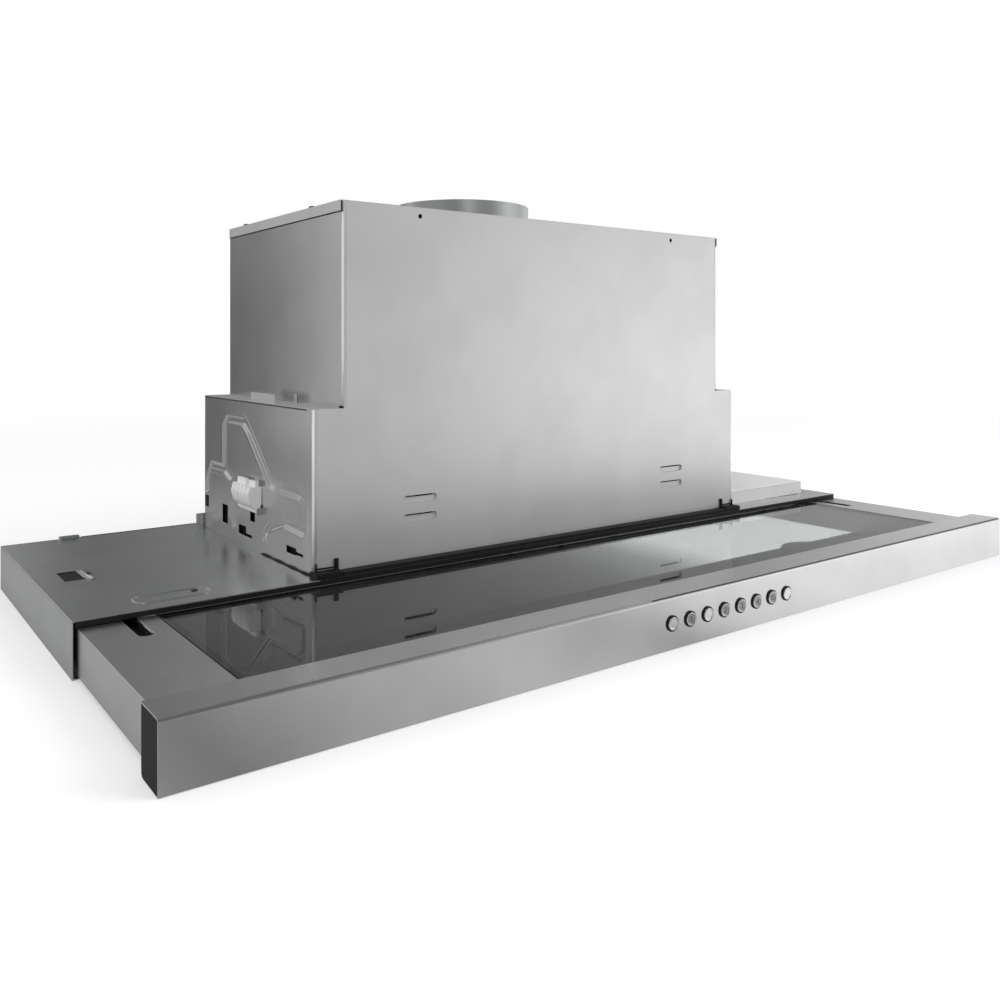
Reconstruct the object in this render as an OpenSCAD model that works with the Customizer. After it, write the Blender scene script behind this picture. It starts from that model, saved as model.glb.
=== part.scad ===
/* [Overall] */
// Width of the front bar over its end caps
hood_w = 898; // [860:1:1000]
// Depth of the fixed tray from its front edge to the wall
tray_d = 288; // [280:1:330]
// Height of the tray and of the front bar
tray_h = 40; // [38:0.5:46]
// Distance from the tray's front edge to the bar's front face, pulled out
pull_out = 197; // [170:1:200]
// Thickness of the folded sheet metal
sheet = 1; // [0.8:0.1:1.2]

/* [Front bar] */
// Depth of the bar's folded profile
bar_t = 29; // [26:1:34]
// Thickness of the plastic end caps
cap_t = 2; // [1.5:0.5:3]
// Radius on the bar's top front edge
bar_r = 2.5; // [1.5:0.5:3]
// Diameter of a push button
button_d = 10; // [9:0.5:14]
// Distance from one button to the next
button_pitch = 20; // [18:0.5:24]
// Height of the row of buttons above the bar's lower edge
button_z = 19.8; // [17:0.1:22]
// Travel of a push button
button_travel = 1.5; // [1:0.1:1.8]

/* [Pull-out frame] */
// Distance from the top of the bar down to the glass
pane_drop = 4.6; // [4:0.1:6]
// Thickness of the glass pane
glass_t = 4; // [3:0.5:5]
// Width of each side arm's top plate
arm_w = 53; // [50:1:60]
// Height of the open edge under each arm's outer wall
arm_foot = 3.2; // [3:0.1:4]
// Width of the stop slot in each arm
slot_w = 10; // [9.5:0.5:12]
// Distance from the tray's front edge forward to the end of the stop slot
slot_reach = 45; // [40:1:60]
// Depth of the lamp panel behind the bar
lamp_panel_d = 109; // [90:1:110]
// Diameter of a lamp lens
lens_d = 58; // [50:1:70]
// Distance of each lamp from the middle
lamp_x = 235; // [200:1:280]

/* [Body] */
// Width of the upper body
upper_w = 470.6; // [460:0.2:480]
// How far the lower body stands out on each side of the upper body
shoulder_w = 26.7; // [24:0.1:30]
// Depth of the body
body_d = 254; // [250:1:262]
// Distance from the tray's front edge back to the body
body_setback = 11.4; // [10:0.1:14]
// Height of the shoulder above the tray's top
shoulder_h = 135.4; // [130:0.2:150]
// Height of the body's top above the tray's top
body_h = 308; // [300:1:330]
// Bending radius of the body's upright corners
bend_r = 3; // [2:0.5:4]

/* [Duct] */
// Outside diameter of the duct collar
duct_d = 150; // [140:1:152]
// Height of the collar above the body
duct_h = 31; // [25:1:45]
// Distance from the body's rear forward to the duct's axis
duct_inset = 88.4; // [84:0.2:90]

/* [Fan] */
// Diameter of the fan wheel
wheel_d = 170; // [160:1:172]
// Width of the fan wheel
wheel_w = 104; // [96:1:108]
// Number of blades on each side of the wheel
blade_count = 28; // [20:2:36]
// Height of the fan's axis above the tray's top
fan_h = 135; // [130:1:145]
// Distance from the body's front back to the fan's axis
fan_setback = 113.6; // [113:0.2:116]
// Inside width of the fan's scroll housing
scroll_w = 120; // [114:1:130]
// Diameter of the motor
motor_d = 80; // [70:1:90]

/* [Filters] */
// Thickness of a grease filter
filter_t = 9; // [8:0.5:11]
// Gap between the two filters
filter_gap = 12; // [10:1:20]
// Number of slots across a filter
filter_slots = 22; // [12:1:26]

/* [Side clamps] */
// Length of a ribbed side clamp
clamp_l = 44; // [36:1:50]
// Height of a side clamp
clamp_h = 25; // [22:1:30]
// How far a side clamp stands out from the body
clamp_out = 13; // [10:0.5:15]

/* [Hidden] */
$fn = 48;
// Overrun of every cut past the face it opens
cut = 1;
// Clearance between pieces that slide past each other
slide_gap = 0.4;
// Clearance between pieces that only lie beside each other
rest_gap = 0.3;
// Radial clearance of a pin in its hole
pin_gap = 0.05;

// Main planes, with the origin under the middle of the pulled-out hood
button_proud = 1.8;
overall_d = tray_d + pull_out + button_proud;
bar_front = -overall_d / 2 + button_proud;
bar_back = bar_front + bar_t;
tray_front = bar_front + pull_out;
tray_back = overall_d / 2;
body_front = tray_front + body_setback;
body_back = body_front + body_d;
close_gap = 1;
travel = pull_out - bar_t - close_gap;
lower_w = upper_w + 2 * shoulder_w;
shoulder_z = tray_h + shoulder_h;
body_top = tray_h + body_h;
duct_top = body_top + duct_h;
duct_y = body_back - duct_inset;
fan_y = body_front + fan_setback;
fan_z = tray_h + fan_h;

// Bar, arms and glass
bar_half = hood_w / 2;
profile_half = bar_half - cap_t;
cap_plug = 12;
cap_r = 3;
button_count = 8;
button_first = -button_pitch * (button_count - 1) / 2;
button_gap = 0.3;
button_dome = 0.5;
bezel_t = 0.8;
bezel_proud = 0.9;
button_flange = 1.6;
button_flange_t = 1.2;
button_stem_d = 5;
button_stem = 6.5;
switch_t = 3.5;
switch_w = 6;
board_t = 1.6;
board_h = 26;
board_margin = 20;
standoff_d = 6;
side_gap = 2;
tray_half = profile_half;
arm_out = tray_half - sheet - side_gap;
arm_in = arm_out - arm_w;
arm_top = tray_h - pane_drop;
arm_rear_gap = 2;
arm_back = tray_back - sheet - travel - arm_rear_gap;
arm_slack = 1.8;
inner_wall_z = arm_foot + arm_slack;
seal_t = 1;
ledge_w = 8;
pane_half = arm_in - seal_t;
pane_z = arm_top - glass_t;
seal_foot = ledge_w - cut;
ledge_z = pane_z - seal_t;
pane_rear = 4;
crossbar_h = 4;
crossbar_d = 12;
crossbar_lead = 4;
crossbar_front = tray_front - crossbar_lead;
slot_side = 29.5;
slot_x = arm_out - slot_side - slot_w;
slot_front = tray_front - slot_reach;
panel_z = inner_wall_z - sheet;
panel_side = 5;
panel_half = arm_in + panel_side;
panel_back = bar_back + lamp_panel_d;
lamp_y = bar_back + lamp_panel_d / 2;
lamp_rim = 3;
lamp_h = 12;
lens_t = 1.8;
lens_fit = 0.2;

// Slides
web_inset = 0.5;
member_t = 1.2;
member_flange = 17;
member_drop = 8;
member_h = 16.8;
member_front_gap = 8;
member_x = slot_x - web_inset - member_t;
member_top = arm_top - sheet - member_drop;
member_z = member_top - member_h;
rail_overlap = 10;
rail_x = member_x + member_t + member_flange - rail_overlap;
rail_end_gap = 1.8;
rail_out = member_x + member_t + member_flange + rail_end_gap + member_t;
rail_front = tray_front + pane_rear;
rail_z = member_z - slide_gap - member_t;
rail_top = member_top + slide_gap + member_t;

// Tray
lip_w = 6;
intake_side = 22;
intake_margin = 5;
intake_half = lower_w / 2 - intake_side;
intake_back = body_back - 3 * intake_margin;
lug_l = 26;
lug_side = 1.5;
lug_y = slot_front + travel + 2 * close_gap;
lug_z = rail_top + close_gap;
fix_hole_w = 16;
fix_hole_l = 34;
fix_hole_in = 20;
fix_hole_x = tray_half - fix_hole_in;
fix_hole_setback = 115;
fix_hole_y = tray_front + fix_hole_setback;
cross_rail_t = 1.6;
cross_rail_d = 10;
cross_rail_y = panel_back + travel + 2 * close_gap;
baffle_t = 1.2;
baffle_side = 2.5;
baffle_half = arm_in - baffle_side;
baffle_top = pane_z - crossbar_h - slide_gap;
intake_front = cross_rail_y + cross_rail_d + intake_margin;
// Slot in the tray's top, in front of the control box
box_slot_l = 67;
box_slot_w = 3;
box_slot_side = 8;

// Filters and latches
filter_edge_gap = 7;
filter_lift = 1.5;
filter_half_in = filter_gap / 2;
filter_half_out = arm_in - filter_edge_gap;
filter_rear_gap = 3.5;
filter_y1 = tray_back - sheet - filter_rear_gap;
filter_front_gap = 2;
filter_y0 = cross_rail_y + cross_rail_d + filter_front_gap;
filter_z = filter_lift;
filter_top = filter_z + filter_t;
filter_rim = 14;
hinge_inset = 2.5;
hinge_y = filter_y1 - hinge_inset;
hinge_z = filter_z + filter_t / 2;
hinge_pin_r = 2;
lug_gap = 1;
ear_t = 3;
ear_front = 4;
ear_half_h = 5;
stub_l = lug_gap + ear_t - rest_gap;
latch_w = 30;
latch_t = 4.3;
latch_travel = 6;
latch_floor = 5.5;
latch_lip = 1.5;
tongue_w = 16;
tongue_t = 2;
tongue_l = 6;
tongue_rise = 1.7;
latch_x = (filter_half_in + filter_half_out) / 2;
slot_share = 0.45;
filter_skin = 0.8;

// Body details
vent_x = 160;
vent_l = 35;
vent_rise = 37.8;
vent_z = tray_h + vent_rise;
vent_pitch = 16;
vent_slit = 1.6;
vent_h = 6.5;
vent_deep = 2;
vent_count = 2;
front_hole_d = 4;
front_hole_drop = 8;
front_hole_z = body_top - front_hole_drop;
panel_foot = 3;
groove_w = 8;
groove_deep = 0.5;
cover_flange = 9;
cover_setback = 1.6;
cover_short = 4;
cover_hole_gap = 1.5;
screw_d = 7;
screw_h = 1.6;
screw_shank_d = 3.5;
screw_shank = 6;
screw_inset = 4;
top_flange = 10;
screw_front = 63.6;
screw_rear = 40.4;
tab_h = 7.6;
tab_setback = 95.6;
tab_y = body_front + tab_setback;
tab_l = 54;
tab_inset = 8;
small_tab_l = 6;
small_tab_setback = 87;
small_tab_y = body_front + small_tab_setback;
shoulder_lap = 6;
hem_h = 6;
foot_w = 9;
foot_h = 14;
foot_out = 8;
clip_l = 22;
clip_h = 4.5;
clip_d = 10.6;
clip_side = 2;
clip_side_d = 14.6;
clip_tab_w = 4;
clip_tab_h = 13;
clip_tab_t = 2;
seal_in = 4;
seal_proud = 10.6;
fan_rail_lead = 1.5;

// Duct collar and its two flaps
collar_t = 1.2;
collar_flange = 9;
flap_t = 1.2;
flap_edge = 0.8;
flap_lift = 6;
flap_root = 4;
flap_pin_r = 1.5;
knuckle_r = 3;
knuckle_l = 14;
knuckle_inner_x = 10;
knuckle_outer_x = 30;
stop_w = 3.8;
stop_h = 2.5;
duct_r = duct_d / 2;
flap_z = body_top + flap_lift;

// Scroll housing and fan
scroll_t = 2;
scroll_start_gap = 8;
scroll_growth = 35;
tongue_angle = 60;
spiral_step = 12;
outlet_rise = 100;
eye_d = 136;
eye_lip = 6;
eye_lip_t = 2;
scroll_r0 = wheel_d / 2 + scroll_start_gap;
scroll_r1 = scroll_r0 + scroll_growth;
outlet_front = scroll_r0 * cos(tongue_angle);
outlet_z = fan_z + outlet_rise;
duct_skin = 1.5;
rail_w = 16;
rail_t = 3;
mount_d = 14;
mount_h = 9;
mount_pitch = 64;
foot_l = 80;
foot_t = 12;
blade_l = 17;
blade_t = 1.2;
blade_sweep = 16;
ring_t = 2;
ring_w = 5;
disc_t = 2;
hub_d = 24;
hub_l = 13;
shaft_d = 8;
shaft_short = 3.3;
motor_l = 70;
motor_gap = 5;
can_t = 3;
bearing_d = 18;
bearing_w = 6;
bearing_boss = 3;
bearing_fit = 0.03;
air_gap = 0.6;
rotor_d = 46.8;
stack_l = 34;
stack_inset = 18;
clamp_ring_t = 4;
clamp_ring_l = 10;
arm_bar_w = 10;
arm_bar_t = 3;
arm_bar_r = 80;

// Control box beside the body
box_gap = 0.5;
box_x = lower_w / 2 + box_gap;
box_side = 27;
box_l = tray_half - box_side - box_x;
box_setback = 29;
box_y = tray_front + box_setback;
box_d = 176;
box_h = 15;
box_wall = 1.6;
box_cover_t = 1.6;
box_lip = 3;
box_post = 5;
pcb_margin = 6;
pcb_part_h = 4;
pcb_part_w = 22;
pcb_pitch = 33;
pcb_parts = 4;
inlet_d = 9;
inlet_l = 14;
inlet_bore = 6;

// Side clamps
clamp_setback = 104.6;
clamp_y = body_front + clamp_setback;
clamp_rise = 35;
clamp_z = tray_h + clamp_rise;
clamp_axis_out = 3;
clamp_axis_up = 3;
clamp_pin_r = 1.5;
clamp_ribs = 5;
rib_gap_share = 0.34;
rib_deep = 1.4;
clamp_ear_t = 1.5;
clamp_ear_h = 6;
clamp_ear_out = 5.2;
clamp_plate_t = 1;
clamp_tab_h = 5;
// Width of each tab on a clamp's top, and where along the clamp it starts
clamp_tab_shares = [[0.34, 0.01], [0.45, 0.52]];
clamp_tab_t = 3;

module block(x, y, z) {
    translate([x[0], y[0], z[0]]) cube([x[1] - x[0], y[1] - y[0], z[1] - z[0]]);
}

module both_sides() {
    children();
    mirror([1, 0, 0]) children();
}

// Extrudes an outline drawn in X and Z, from y0 back over a depth t
module upright(y0, t) {
    translate([0, y0 + t, 0]) rotate([90, 0, 0]) linear_extrude(t) children();
}

// Extrudes an outline drawn in Y and Z, from x0 to the right over a width t
module sideways(x0, t) {
    translate([x0, 0, 0]) rotate([90, 0, 90]) linear_extrude(t) children();
}

// A round piece along X, from x0 to x1
module round_x(x0, x1, r, y, z) {
    translate([x0, y, z]) rotate([0, 90, 0]) cylinder(h = x1 - x0, r = r);
}

// A round piece along Y, from y0 to y1
module round_y(y0, y1, r, x, z) {
    translate([x, y1, z]) rotate([90, 0, 0]) cylinder(h = y1 - y0, r = r);
}

// A ribbon of constant width along a list of points, mitred at each bend
function normal(a, b) = [a[1] - b[1], b[0] - a[0]] / norm(b - a);
function mitre(n1, n2) = (n1 + n2) / (1 + n1 * n2);
function side_step(points, i) =
    i == 0 ? normal(points[0], points[1]) :
    i == len(points) - 1 ? normal(points[i - 1], points[i]) :
    mitre(normal(points[i - 1], points[i]), normal(points[i], points[i + 1]));
function ribbon(points, w) = concat(
    [for (i = [0 : len(points) - 1]) points[i] + side_step(points, i) * w / 2],
    [for (i = [len(points) - 1 : -1 : 0]) points[i] - side_step(points, i) * w / 2]);

// Fixed tray

module tray_top() {
    color("lightgray") {
        difference() {
            block([-tray_half, tray_half], [tray_front, tray_back], [tray_h - sheet, tray_h]);
            block([-intake_half, intake_half], [intake_front, intake_back],
                  [tray_h - sheet - cut, tray_h + cut]);
            block([box_x + box_l - box_slot_side - box_slot_l, box_x + box_l - box_slot_side],
                  [box_y - box_slot_w, box_y], [tray_h - sheet - cut, tray_h + cut]);
            both_sides() block([-fix_hole_x, -fix_hole_x + fix_hole_w], [fix_hole_y, fix_hole_y + fix_hole_l],
                  [tray_h - sheet - cut, tray_h + cut]);
        }
        both_sides() block([-slot_x - slot_w + lug_side, -slot_x - lug_side], [lug_y, lug_y + lug_l],
                           [lug_z, tray_h - sheet]);
    }
}

module tray_sides() {
    color("darkgray") both_sides() {
        block([tray_half - sheet, tray_half], [tray_front, tray_back], [0, tray_h - sheet]);
        block([tray_half - lip_w, tray_half], [tray_front, tray_back], [0, sheet]);
    }
}

module filter_ear(x0) {
    difference() {
        block([x0, x0 + ear_t], [hinge_y - ear_front, tray_back - sheet],
              [hinge_z - ear_half_h, hinge_z + ear_half_h]);
        round_x(x0 - cut, x0 + ear_t + cut, hinge_pin_r + pin_gap, hinge_y, hinge_z);
    }
}

module tray_rear() {
    color("darkgray") {
        block([-tray_half + sheet, tray_half - sheet], [tray_back - sheet, tray_back],
              [sheet, tray_h - sheet]);
        both_sides() {
            filter_ear(filter_half_out + lug_gap);
            filter_ear(filter_half_in - lug_gap - ear_t);
        }
    }
}

module filter_rail() {
    color("darkgray") {
        block([-tray_half + sheet + rest_gap, tray_half - sheet - rest_gap],
              [cross_rail_y, cross_rail_y + cross_rail_d], [sheet, sheet + cross_rail_t]);
        block([-baffle_half, baffle_half], [cross_rail_y, cross_rail_y + baffle_t],
              [sheet + cross_rail_t, baffle_top]);
    }
}

module slide_rails() {
    color("silver") both_sides() {
        block([rail_out - member_t, rail_out], [rail_front, tray_back - sheet], [rail_z, rail_top]);
        block([rail_x, rail_out], [rail_front, tray_back - sheet], [rail_z, rail_z + member_t]);
        block([rail_x, rail_out], [rail_front, tray_back - sheet], [rail_top - member_t, rail_top]);
        block([rail_x, rail_out], [cross_rail_y, cross_rail_y + cross_rail_d],
              [sheet + cross_rail_t, rail_z]);
    }
}

// Body

// Plan of a front plate whose two ends curl back round the corner bends
module bent_plan(w) {
    difference() {
        union() {
            translate([-w / 2 + bend_r, 0]) square([w - 2 * bend_r, bend_r]);
            for (s = [-1, 1]) translate([s * (w / 2 - bend_r), bend_r]) circle(r = bend_r);
        }
        translate([-w / 2 + bend_r, sheet]) square([w - 2 * bend_r, bend_r]);
        for (s = [-1, 1]) translate([s * (w / 2 - bend_r), bend_r]) circle(r = bend_r - sheet);
        translate([-w / 2 - cut, bend_r]) square([w + 2 * cut, bend_r + cut]);
    }
}

module vent_places() {
    for (s = [-1, 1], i = [0 : vent_count - 1])
        translate([s * vent_x, 0, vent_z + i * vent_pitch]) children();
}

// Round-ended outline of a louvre in X and Z
module vent_outline(grow) {
    square([vent_l - vent_h, vent_h + 2 * grow], center = true);
    for (s = [-1, 1]) translate([s * (vent_l - vent_h) / 2, 0]) circle(d = vent_h + 2 * grow);
}

module front_panel() {
    color("gainsboro") {
        difference() {
            union() {
                translate([0, body_front, tray_h + panel_foot])
                    linear_extrude(shoulder_h - panel_foot) bent_plan(lower_w);
                translate([0, body_front, shoulder_z])
                    linear_extrude(body_h - shoulder_h - sheet) bent_plan(upper_w);
                vent_places() upright(body_front, vent_deep + sheet) vent_outline(sheet);
            }
            vent_places() {
                upright(body_front - cut, vent_deep + cut) vent_outline(0);
                block([(vent_h - vent_l) / 2, (vent_l - vent_h) / 2],
                      [body_front, body_front + vent_deep + sheet + cut],
                      [vent_h / 2 - vent_slit, vent_h / 2]);
            }
            for (s = [-1, 1])
                round_y(body_front - cut, body_front + sheet + cut, front_hole_d / 2,
                        s * vent_x, front_hole_z);
        }
    }
}

module rear_panel() {
    color("darkgray") {
        translate([0, body_back, 0]) mirror([0, 1, 0]) {
            translate([0, 0, tray_h]) linear_extrude(shoulder_h) bent_plan(lower_w);
            translate([0, 0, shoulder_z]) linear_extrude(body_h - shoulder_h - sheet) bent_plan(upper_w);
        }
        both_sides() {
            block([lower_w / 2 - foot_w, lower_w / 2 + foot_out], [body_back, body_back + sheet],
                  [tray_h, tray_h + foot_h]);
            block([lower_w / 2 - foot_w, lower_w / 2 + foot_out], [body_back, body_back + foot_w],
                  [tray_h, tray_h + sheet]);
        }
    }
}

module upper_sides() {
    color("silver") both_sides() {
        block([upper_w / 2 - sheet, upper_w / 2], [body_front + bend_r, body_back - bend_r],
              [shoulder_z, body_top - sheet]);
        difference() {
            block([upper_w / 2 - top_flange, upper_w / 2 - sheet], [body_front + bend_r, body_back - bend_r],
                  [body_top - 2 * sheet, body_top - sheet]);
            screw_places() translate([0, 0, body_top - 2 * sheet - cut])
                cylinder(h = sheet + 2 * cut, d = screw_shank_d);
        }
    }
}

// Pressed beads, as shares of the body's depth and of the lower side's height
main_bead_shares = [[0.778, 0.502], [0.778, 0.79], [0.743, 0.853], [0.585, 0.853], [0.538, 0.798],
                    [0.341, 0.48], [0.309, 0.469], [0.105, 0.465], [0.069, 0.421], [0.067, 0.295]];
rear_bead_shares = [[0.96, 0.3], [0.955, 0.377], [0.912, 0.487], [0.778, 0.487], [0.711, 0.443]];
low_bead_shares = [[0.392, 0.118], [0.341, 0.199], [0.235, 0.258], [0.077, 0.244]];
short_bead_shares = [[0.697, 0.266], [0.676, 0.126]];
// Windows in the side plate, each as the shares of its low and high corners
window_shares = [[[0.739, 0.096], [0.798, 0.229]], [[0.557, 0.066], [0.632, 0.133]],
                 [[0.502, 0.066], [0.561, 0.089]], [[0.475, 0.185], [0.522, 0.251]],
                 [[0.128, 0.081], [0.207, 0.126]], [[0.077, 0.089], [0.132, 0.107]],
                 [[0.945, 0.162], [1, 0.251]]];

function on_side(share) = [share[0] * body_d, share[1] * shoulder_h];
function along_side(shares) = [for (share = shares) on_side(share)];

module lower_side() {
    difference() {
        sideways(lower_w / 2 - sheet, sheet) difference() {
            translate([body_front + bend_r, tray_h]) square([body_d - 2 * bend_r, shoulder_h]);
            translate([body_front, tray_h]) for (w = window_shares)
                translate(on_side(w[0])) square(on_side(w[1]) - on_side(w[0]));
        }
        sideways(lower_w / 2 - groove_deep, groove_deep + cut) translate([body_front, tray_h])
            for (shares = [main_bead_shares, rear_bead_shares, low_bead_shares, short_bead_shares])
                polygon(ribbon(along_side(shares), groove_w));
    }
}

module left_lower_side() {
    color("silver") mirror([1, 0, 0]) lower_side();
}

module right_lower_side() {
    color("silver") lower_side();
}

module shoulders() {
    color("darkgray") both_sides() {
        block([upper_w / 2 - shoulder_lap, lower_w / 2 - sheet - rest_gap],
              [body_front + bend_r, body_back - bend_r], [shoulder_z - sheet, shoulder_z]);
        block([lower_w / 2 - 2 * sheet - rest_gap, lower_w / 2 - sheet - rest_gap],
              [body_front + bend_r, body_back - bend_r], [shoulder_z - hem_h, shoulder_z]);
        block([lower_w / 2 - tab_inset - sheet, lower_w / 2 - tab_inset], [tab_y, tab_y + tab_l],
              [shoulder_z, shoulder_z + tab_h]);
        block([upper_w / 2 + rest_gap, upper_w / 2 + rest_gap + sheet],
              [small_tab_y, small_tab_y + small_tab_l],
              [shoulder_z, shoulder_z + tab_h]);
    }
}

module screw_places() {
    for (s = [-1, 1], y = [body_front + screw_front, body_back - screw_rear])
        translate([s * (upper_w / 2 - screw_inset), y, 0]) children();
}

module top_cover() {
    color("silver") difference() {
        union() {
            block([-upper_w / 2 - rest_gap - sheet, upper_w / 2 + rest_gap + sheet],
                  [body_front + cover_setback, body_back - cover_short], [body_top - sheet, body_top]);
            both_sides() block([upper_w / 2 + rest_gap, upper_w / 2 + rest_gap + sheet],
                  [body_front + cover_setback, body_back - cover_short], [body_top - cover_flange, body_top]);
        }
        translate([0, duct_y, body_top - sheet - cut])
            cylinder(h = sheet + 2 * cut, r = duct_r + cover_hole_gap);
        screw_places() translate([0, 0, body_top - sheet - cut])
            cylinder(h = sheet + 2 * cut, d = screw_shank_d + 2 * rest_gap);
    }
}

module cover_screws() {
    color("dimgray") screw_places() {
        translate([0, 0, body_top]) cylinder(h = screw_h, d = screw_d);
        translate([0, 0, body_top - screw_shank]) cylinder(h = screw_shank, d = screw_shank_d);
    }
}

module front_seal() {
    color("black") block([-lower_w / 2 + clip_l + rest_gap, lower_w / 2 - clip_l - rest_gap],
        [body_front - seal_proud, body_front + seal_in], [tray_h, tray_h + panel_foot]);
}

module corner_clips() {
    color("black") both_sides() {
        block([lower_w / 2 - clip_l, lower_w / 2 + clip_side], [body_front - clip_d, body_front],
              [tray_h, tray_h + clip_h]);
        block([lower_w / 2 - clip_l, lower_w / 2 - clip_l + clip_tab_w],
              [body_front - clip_tab_t, body_front],
              [tray_h, tray_h + clip_tab_h]);
        block([lower_w / 2, lower_w / 2 + clip_side],
              [body_front - clip_d, body_front - clip_d + clip_side_d],
              [tray_h, tray_h + clip_h]);
    }
}

// Duct

module duct_collar() {
    color("silver") translate([0, duct_y, 0]) difference() {
        union() {
            translate([0, 0, body_top - sheet - collar_t]) {
                cylinder(h = duct_top - body_top + sheet + collar_t, r = duct_r, $fn = 96);
                cylinder(h = collar_t, r = duct_r + collar_flange, $fn = 96);
            }
        }
        difference() {
            translate([0, 0, body_top - sheet - collar_t - cut])
                cylinder(h = duct_h + sheet + collar_t + 2 * cut, r = duct_r - collar_t, $fn = 96);
            difference() {
                translate([0, 0, flap_z - flap_t / 2 - rest_gap - stop_h])
                    cylinder(h = stop_h, r = duct_r, $fn = 96);
                translate([0, 0, body_top - sheet])
                    cylinder(h = duct_h, r = duct_r - collar_t - stop_w, $fn = 96);
                block([-duct_r, duct_r], [-knuckle_r - cut, knuckle_r + cut], [body_top - sheet, duct_top]);
            }
        }
        round_x(-duct_r - cut, duct_r + cut, flap_pin_r, 0, flap_z);
    }
}

module flap_pin() {
    color("gray") round_x(-duct_r, duct_r, flap_pin_r, duct_y, flap_z);
}

// One flap behind the pin, with a knuckle on each side at the places given
module flap(knuckle_x) {
    difference() {
        union() {
            translate([0, 0, flap_z - flap_t / 2]) linear_extrude(flap_t) difference() {
                circle(r = duct_r - collar_t - flap_edge, $fn = 96);
                translate([-duct_r, -duct_r]) square([duct_d, duct_r + flap_root]);
            }
            both_sides() {
                round_x(knuckle_x, knuckle_x + knuckle_l, knuckle_r, 0, flap_z);
                block([knuckle_x, knuckle_x + knuckle_l], [0, flap_root + cut],
                      [flap_z - flap_t / 2, flap_z + flap_t / 2]);
            }
        }
        round_x(-duct_r, duct_r, flap_pin_r + pin_gap, 0, flap_z);
    }
}

module flap_back() {
    color("gray") translate([0, duct_y, 0]) flap(knuckle_inner_x);
}

module flap_front() {
    color("gray") translate([0, duct_y, 0]) mirror([0, 1, 0]) flap(knuckle_outer_x);
}

// Fan housing

// The scroll's outline from the fan's axis, grown outwards by g
function spiral(g) = [for (a = [tongue_angle : spiral_step : 360])
    (scroll_r0 + g + scroll_growth * (a - tongue_angle) / (360 - tongue_angle)) * [cos(a), sin(a)]];
function scroll_outline(g) = concat(spiral(g),
    [[scroll_r1 + g, outlet_rise], [outlet_front - g, outlet_rise]]);

module scroll_half() {
    difference() {
        union() {
            translate([0, fan_y, fan_z]) {
                sideways(0, scroll_w / 2 + scroll_t) polygon(scroll_outline(scroll_t));
            }
            block([scroll_w / 2 + scroll_t - rail_w, scroll_w / 2 + scroll_t],
                  [fan_y - foot_l / 2, fan_y + foot_l / 2],
                  [tray_h + rail_t + mount_h, tray_h + rail_t + mount_h + foot_t]);
        }
        translate([0, fan_y, fan_z]) sideways(-cut, scroll_w / 2 + cut) polygon(scroll_outline(0));
        block([-cut, scroll_w / 2], [fan_y + outlet_front, fan_y + scroll_r1],
              [outlet_z - scroll_t, outlet_z + cut]);
        round_x(scroll_w / 2 - cut, scroll_w / 2 + scroll_t + cut, eye_d / 2, fan_y, fan_z);
    }
    difference() {
        round_x(scroll_w / 2 - eye_lip, scroll_w / 2 + scroll_t, eye_d / 2 + eye_lip_t, fan_y, fan_z);
        round_x(scroll_w / 2 - eye_lip - cut, scroll_w / 2 + scroll_t + cut, eye_d / 2, fan_y, fan_z);
    }
}

module scroll_left() {
    color("slategray") mirror([1, 0, 0]) scroll_half();
}

module scroll_right() {
    color("slategray") scroll_half();
}

// The transition's space, from the scroll's mouth to the collar, grown by g
module transition(g) {
    hull() {
        block([-scroll_w / 2 - g, scroll_w / 2 + g], [fan_y + outlet_front - g, fan_y + scroll_r1 + g],
              [outlet_z - (g > 0 ? 0 : cut), outlet_z + duct_skin]);
        translate([0, duct_y, body_top - sheet - collar_t - duct_skin])
            cylinder(h = duct_skin + (g > 0 ? 0 : cut), r = duct_r - collar_t + g, $fn = 32);
    }
}

module outlet_duct() {
    color("slategray") difference() {
        transition(duct_skin);
        transition(0);
    }
}

module fan_rails() {
    color("darkgray") both_sides() block([scroll_w / 2 + scroll_t - rail_w, scroll_w / 2 + scroll_t],
        [body_front + seal_in + fan_rail_lead, body_back - bend_r], [tray_h, tray_h + rail_t]);
}

module fan_mounts() {
    color("black") both_sides() for (s = [-1, 1])
        translate([scroll_w / 2 + scroll_t - rail_w / 2, fan_y + s * mount_pitch / 2, tray_h + rail_t])
            cylinder(h = mount_h, d = mount_d);
}

// Motor and fan wheel

motor_x = disc_t / 2 + motor_gap;
motor_end = motor_x + motor_l;

module motor_can() {
    color("dimgray") difference() {
        round_x(motor_x, motor_end, motor_d / 2, fan_y, fan_z);
        difference() {
            round_x(motor_x + can_t, motor_end - can_t, motor_d / 2 - can_t, fan_y, fan_z);
            round_x(motor_x, motor_x + can_t + bearing_w, bearing_d / 2 + bearing_boss, fan_y, fan_z);
            round_x(motor_end - can_t - bearing_w, motor_end, bearing_d / 2 + bearing_boss, fan_y, fan_z);
        }
        round_x(motor_x + can_t, motor_x + can_t + bearing_w + cut, bearing_d / 2, fan_y, fan_z);
        round_x(motor_end - can_t - bearing_w - cut, motor_end - can_t, bearing_d / 2, fan_y, fan_z);
        round_x(motor_x - cut, motor_x + can_t + cut, shaft_d / 2 + cut, fan_y, fan_z);
    }
}

module ring_x(x0, x1, r_out, r_in) {
    difference() {
        round_x(x0, x1, r_out, fan_y, fan_z);
        round_x(x0 - cut, x1 + cut, r_in, fan_y, fan_z);
    }
}

module motor_stator() {
    color("peru") ring_x(motor_x + stack_inset, motor_x + stack_inset + stack_l, motor_d / 2 - can_t,
                         rotor_d / 2 + air_gap);
}

module motor_bearings() {
    color("silver") for (x0 = [motor_x + can_t, motor_end - can_t - bearing_w])
        ring_x(x0, x0 + bearing_w, bearing_d / 2, shaft_d / 2 + bearing_fit);
}

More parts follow.
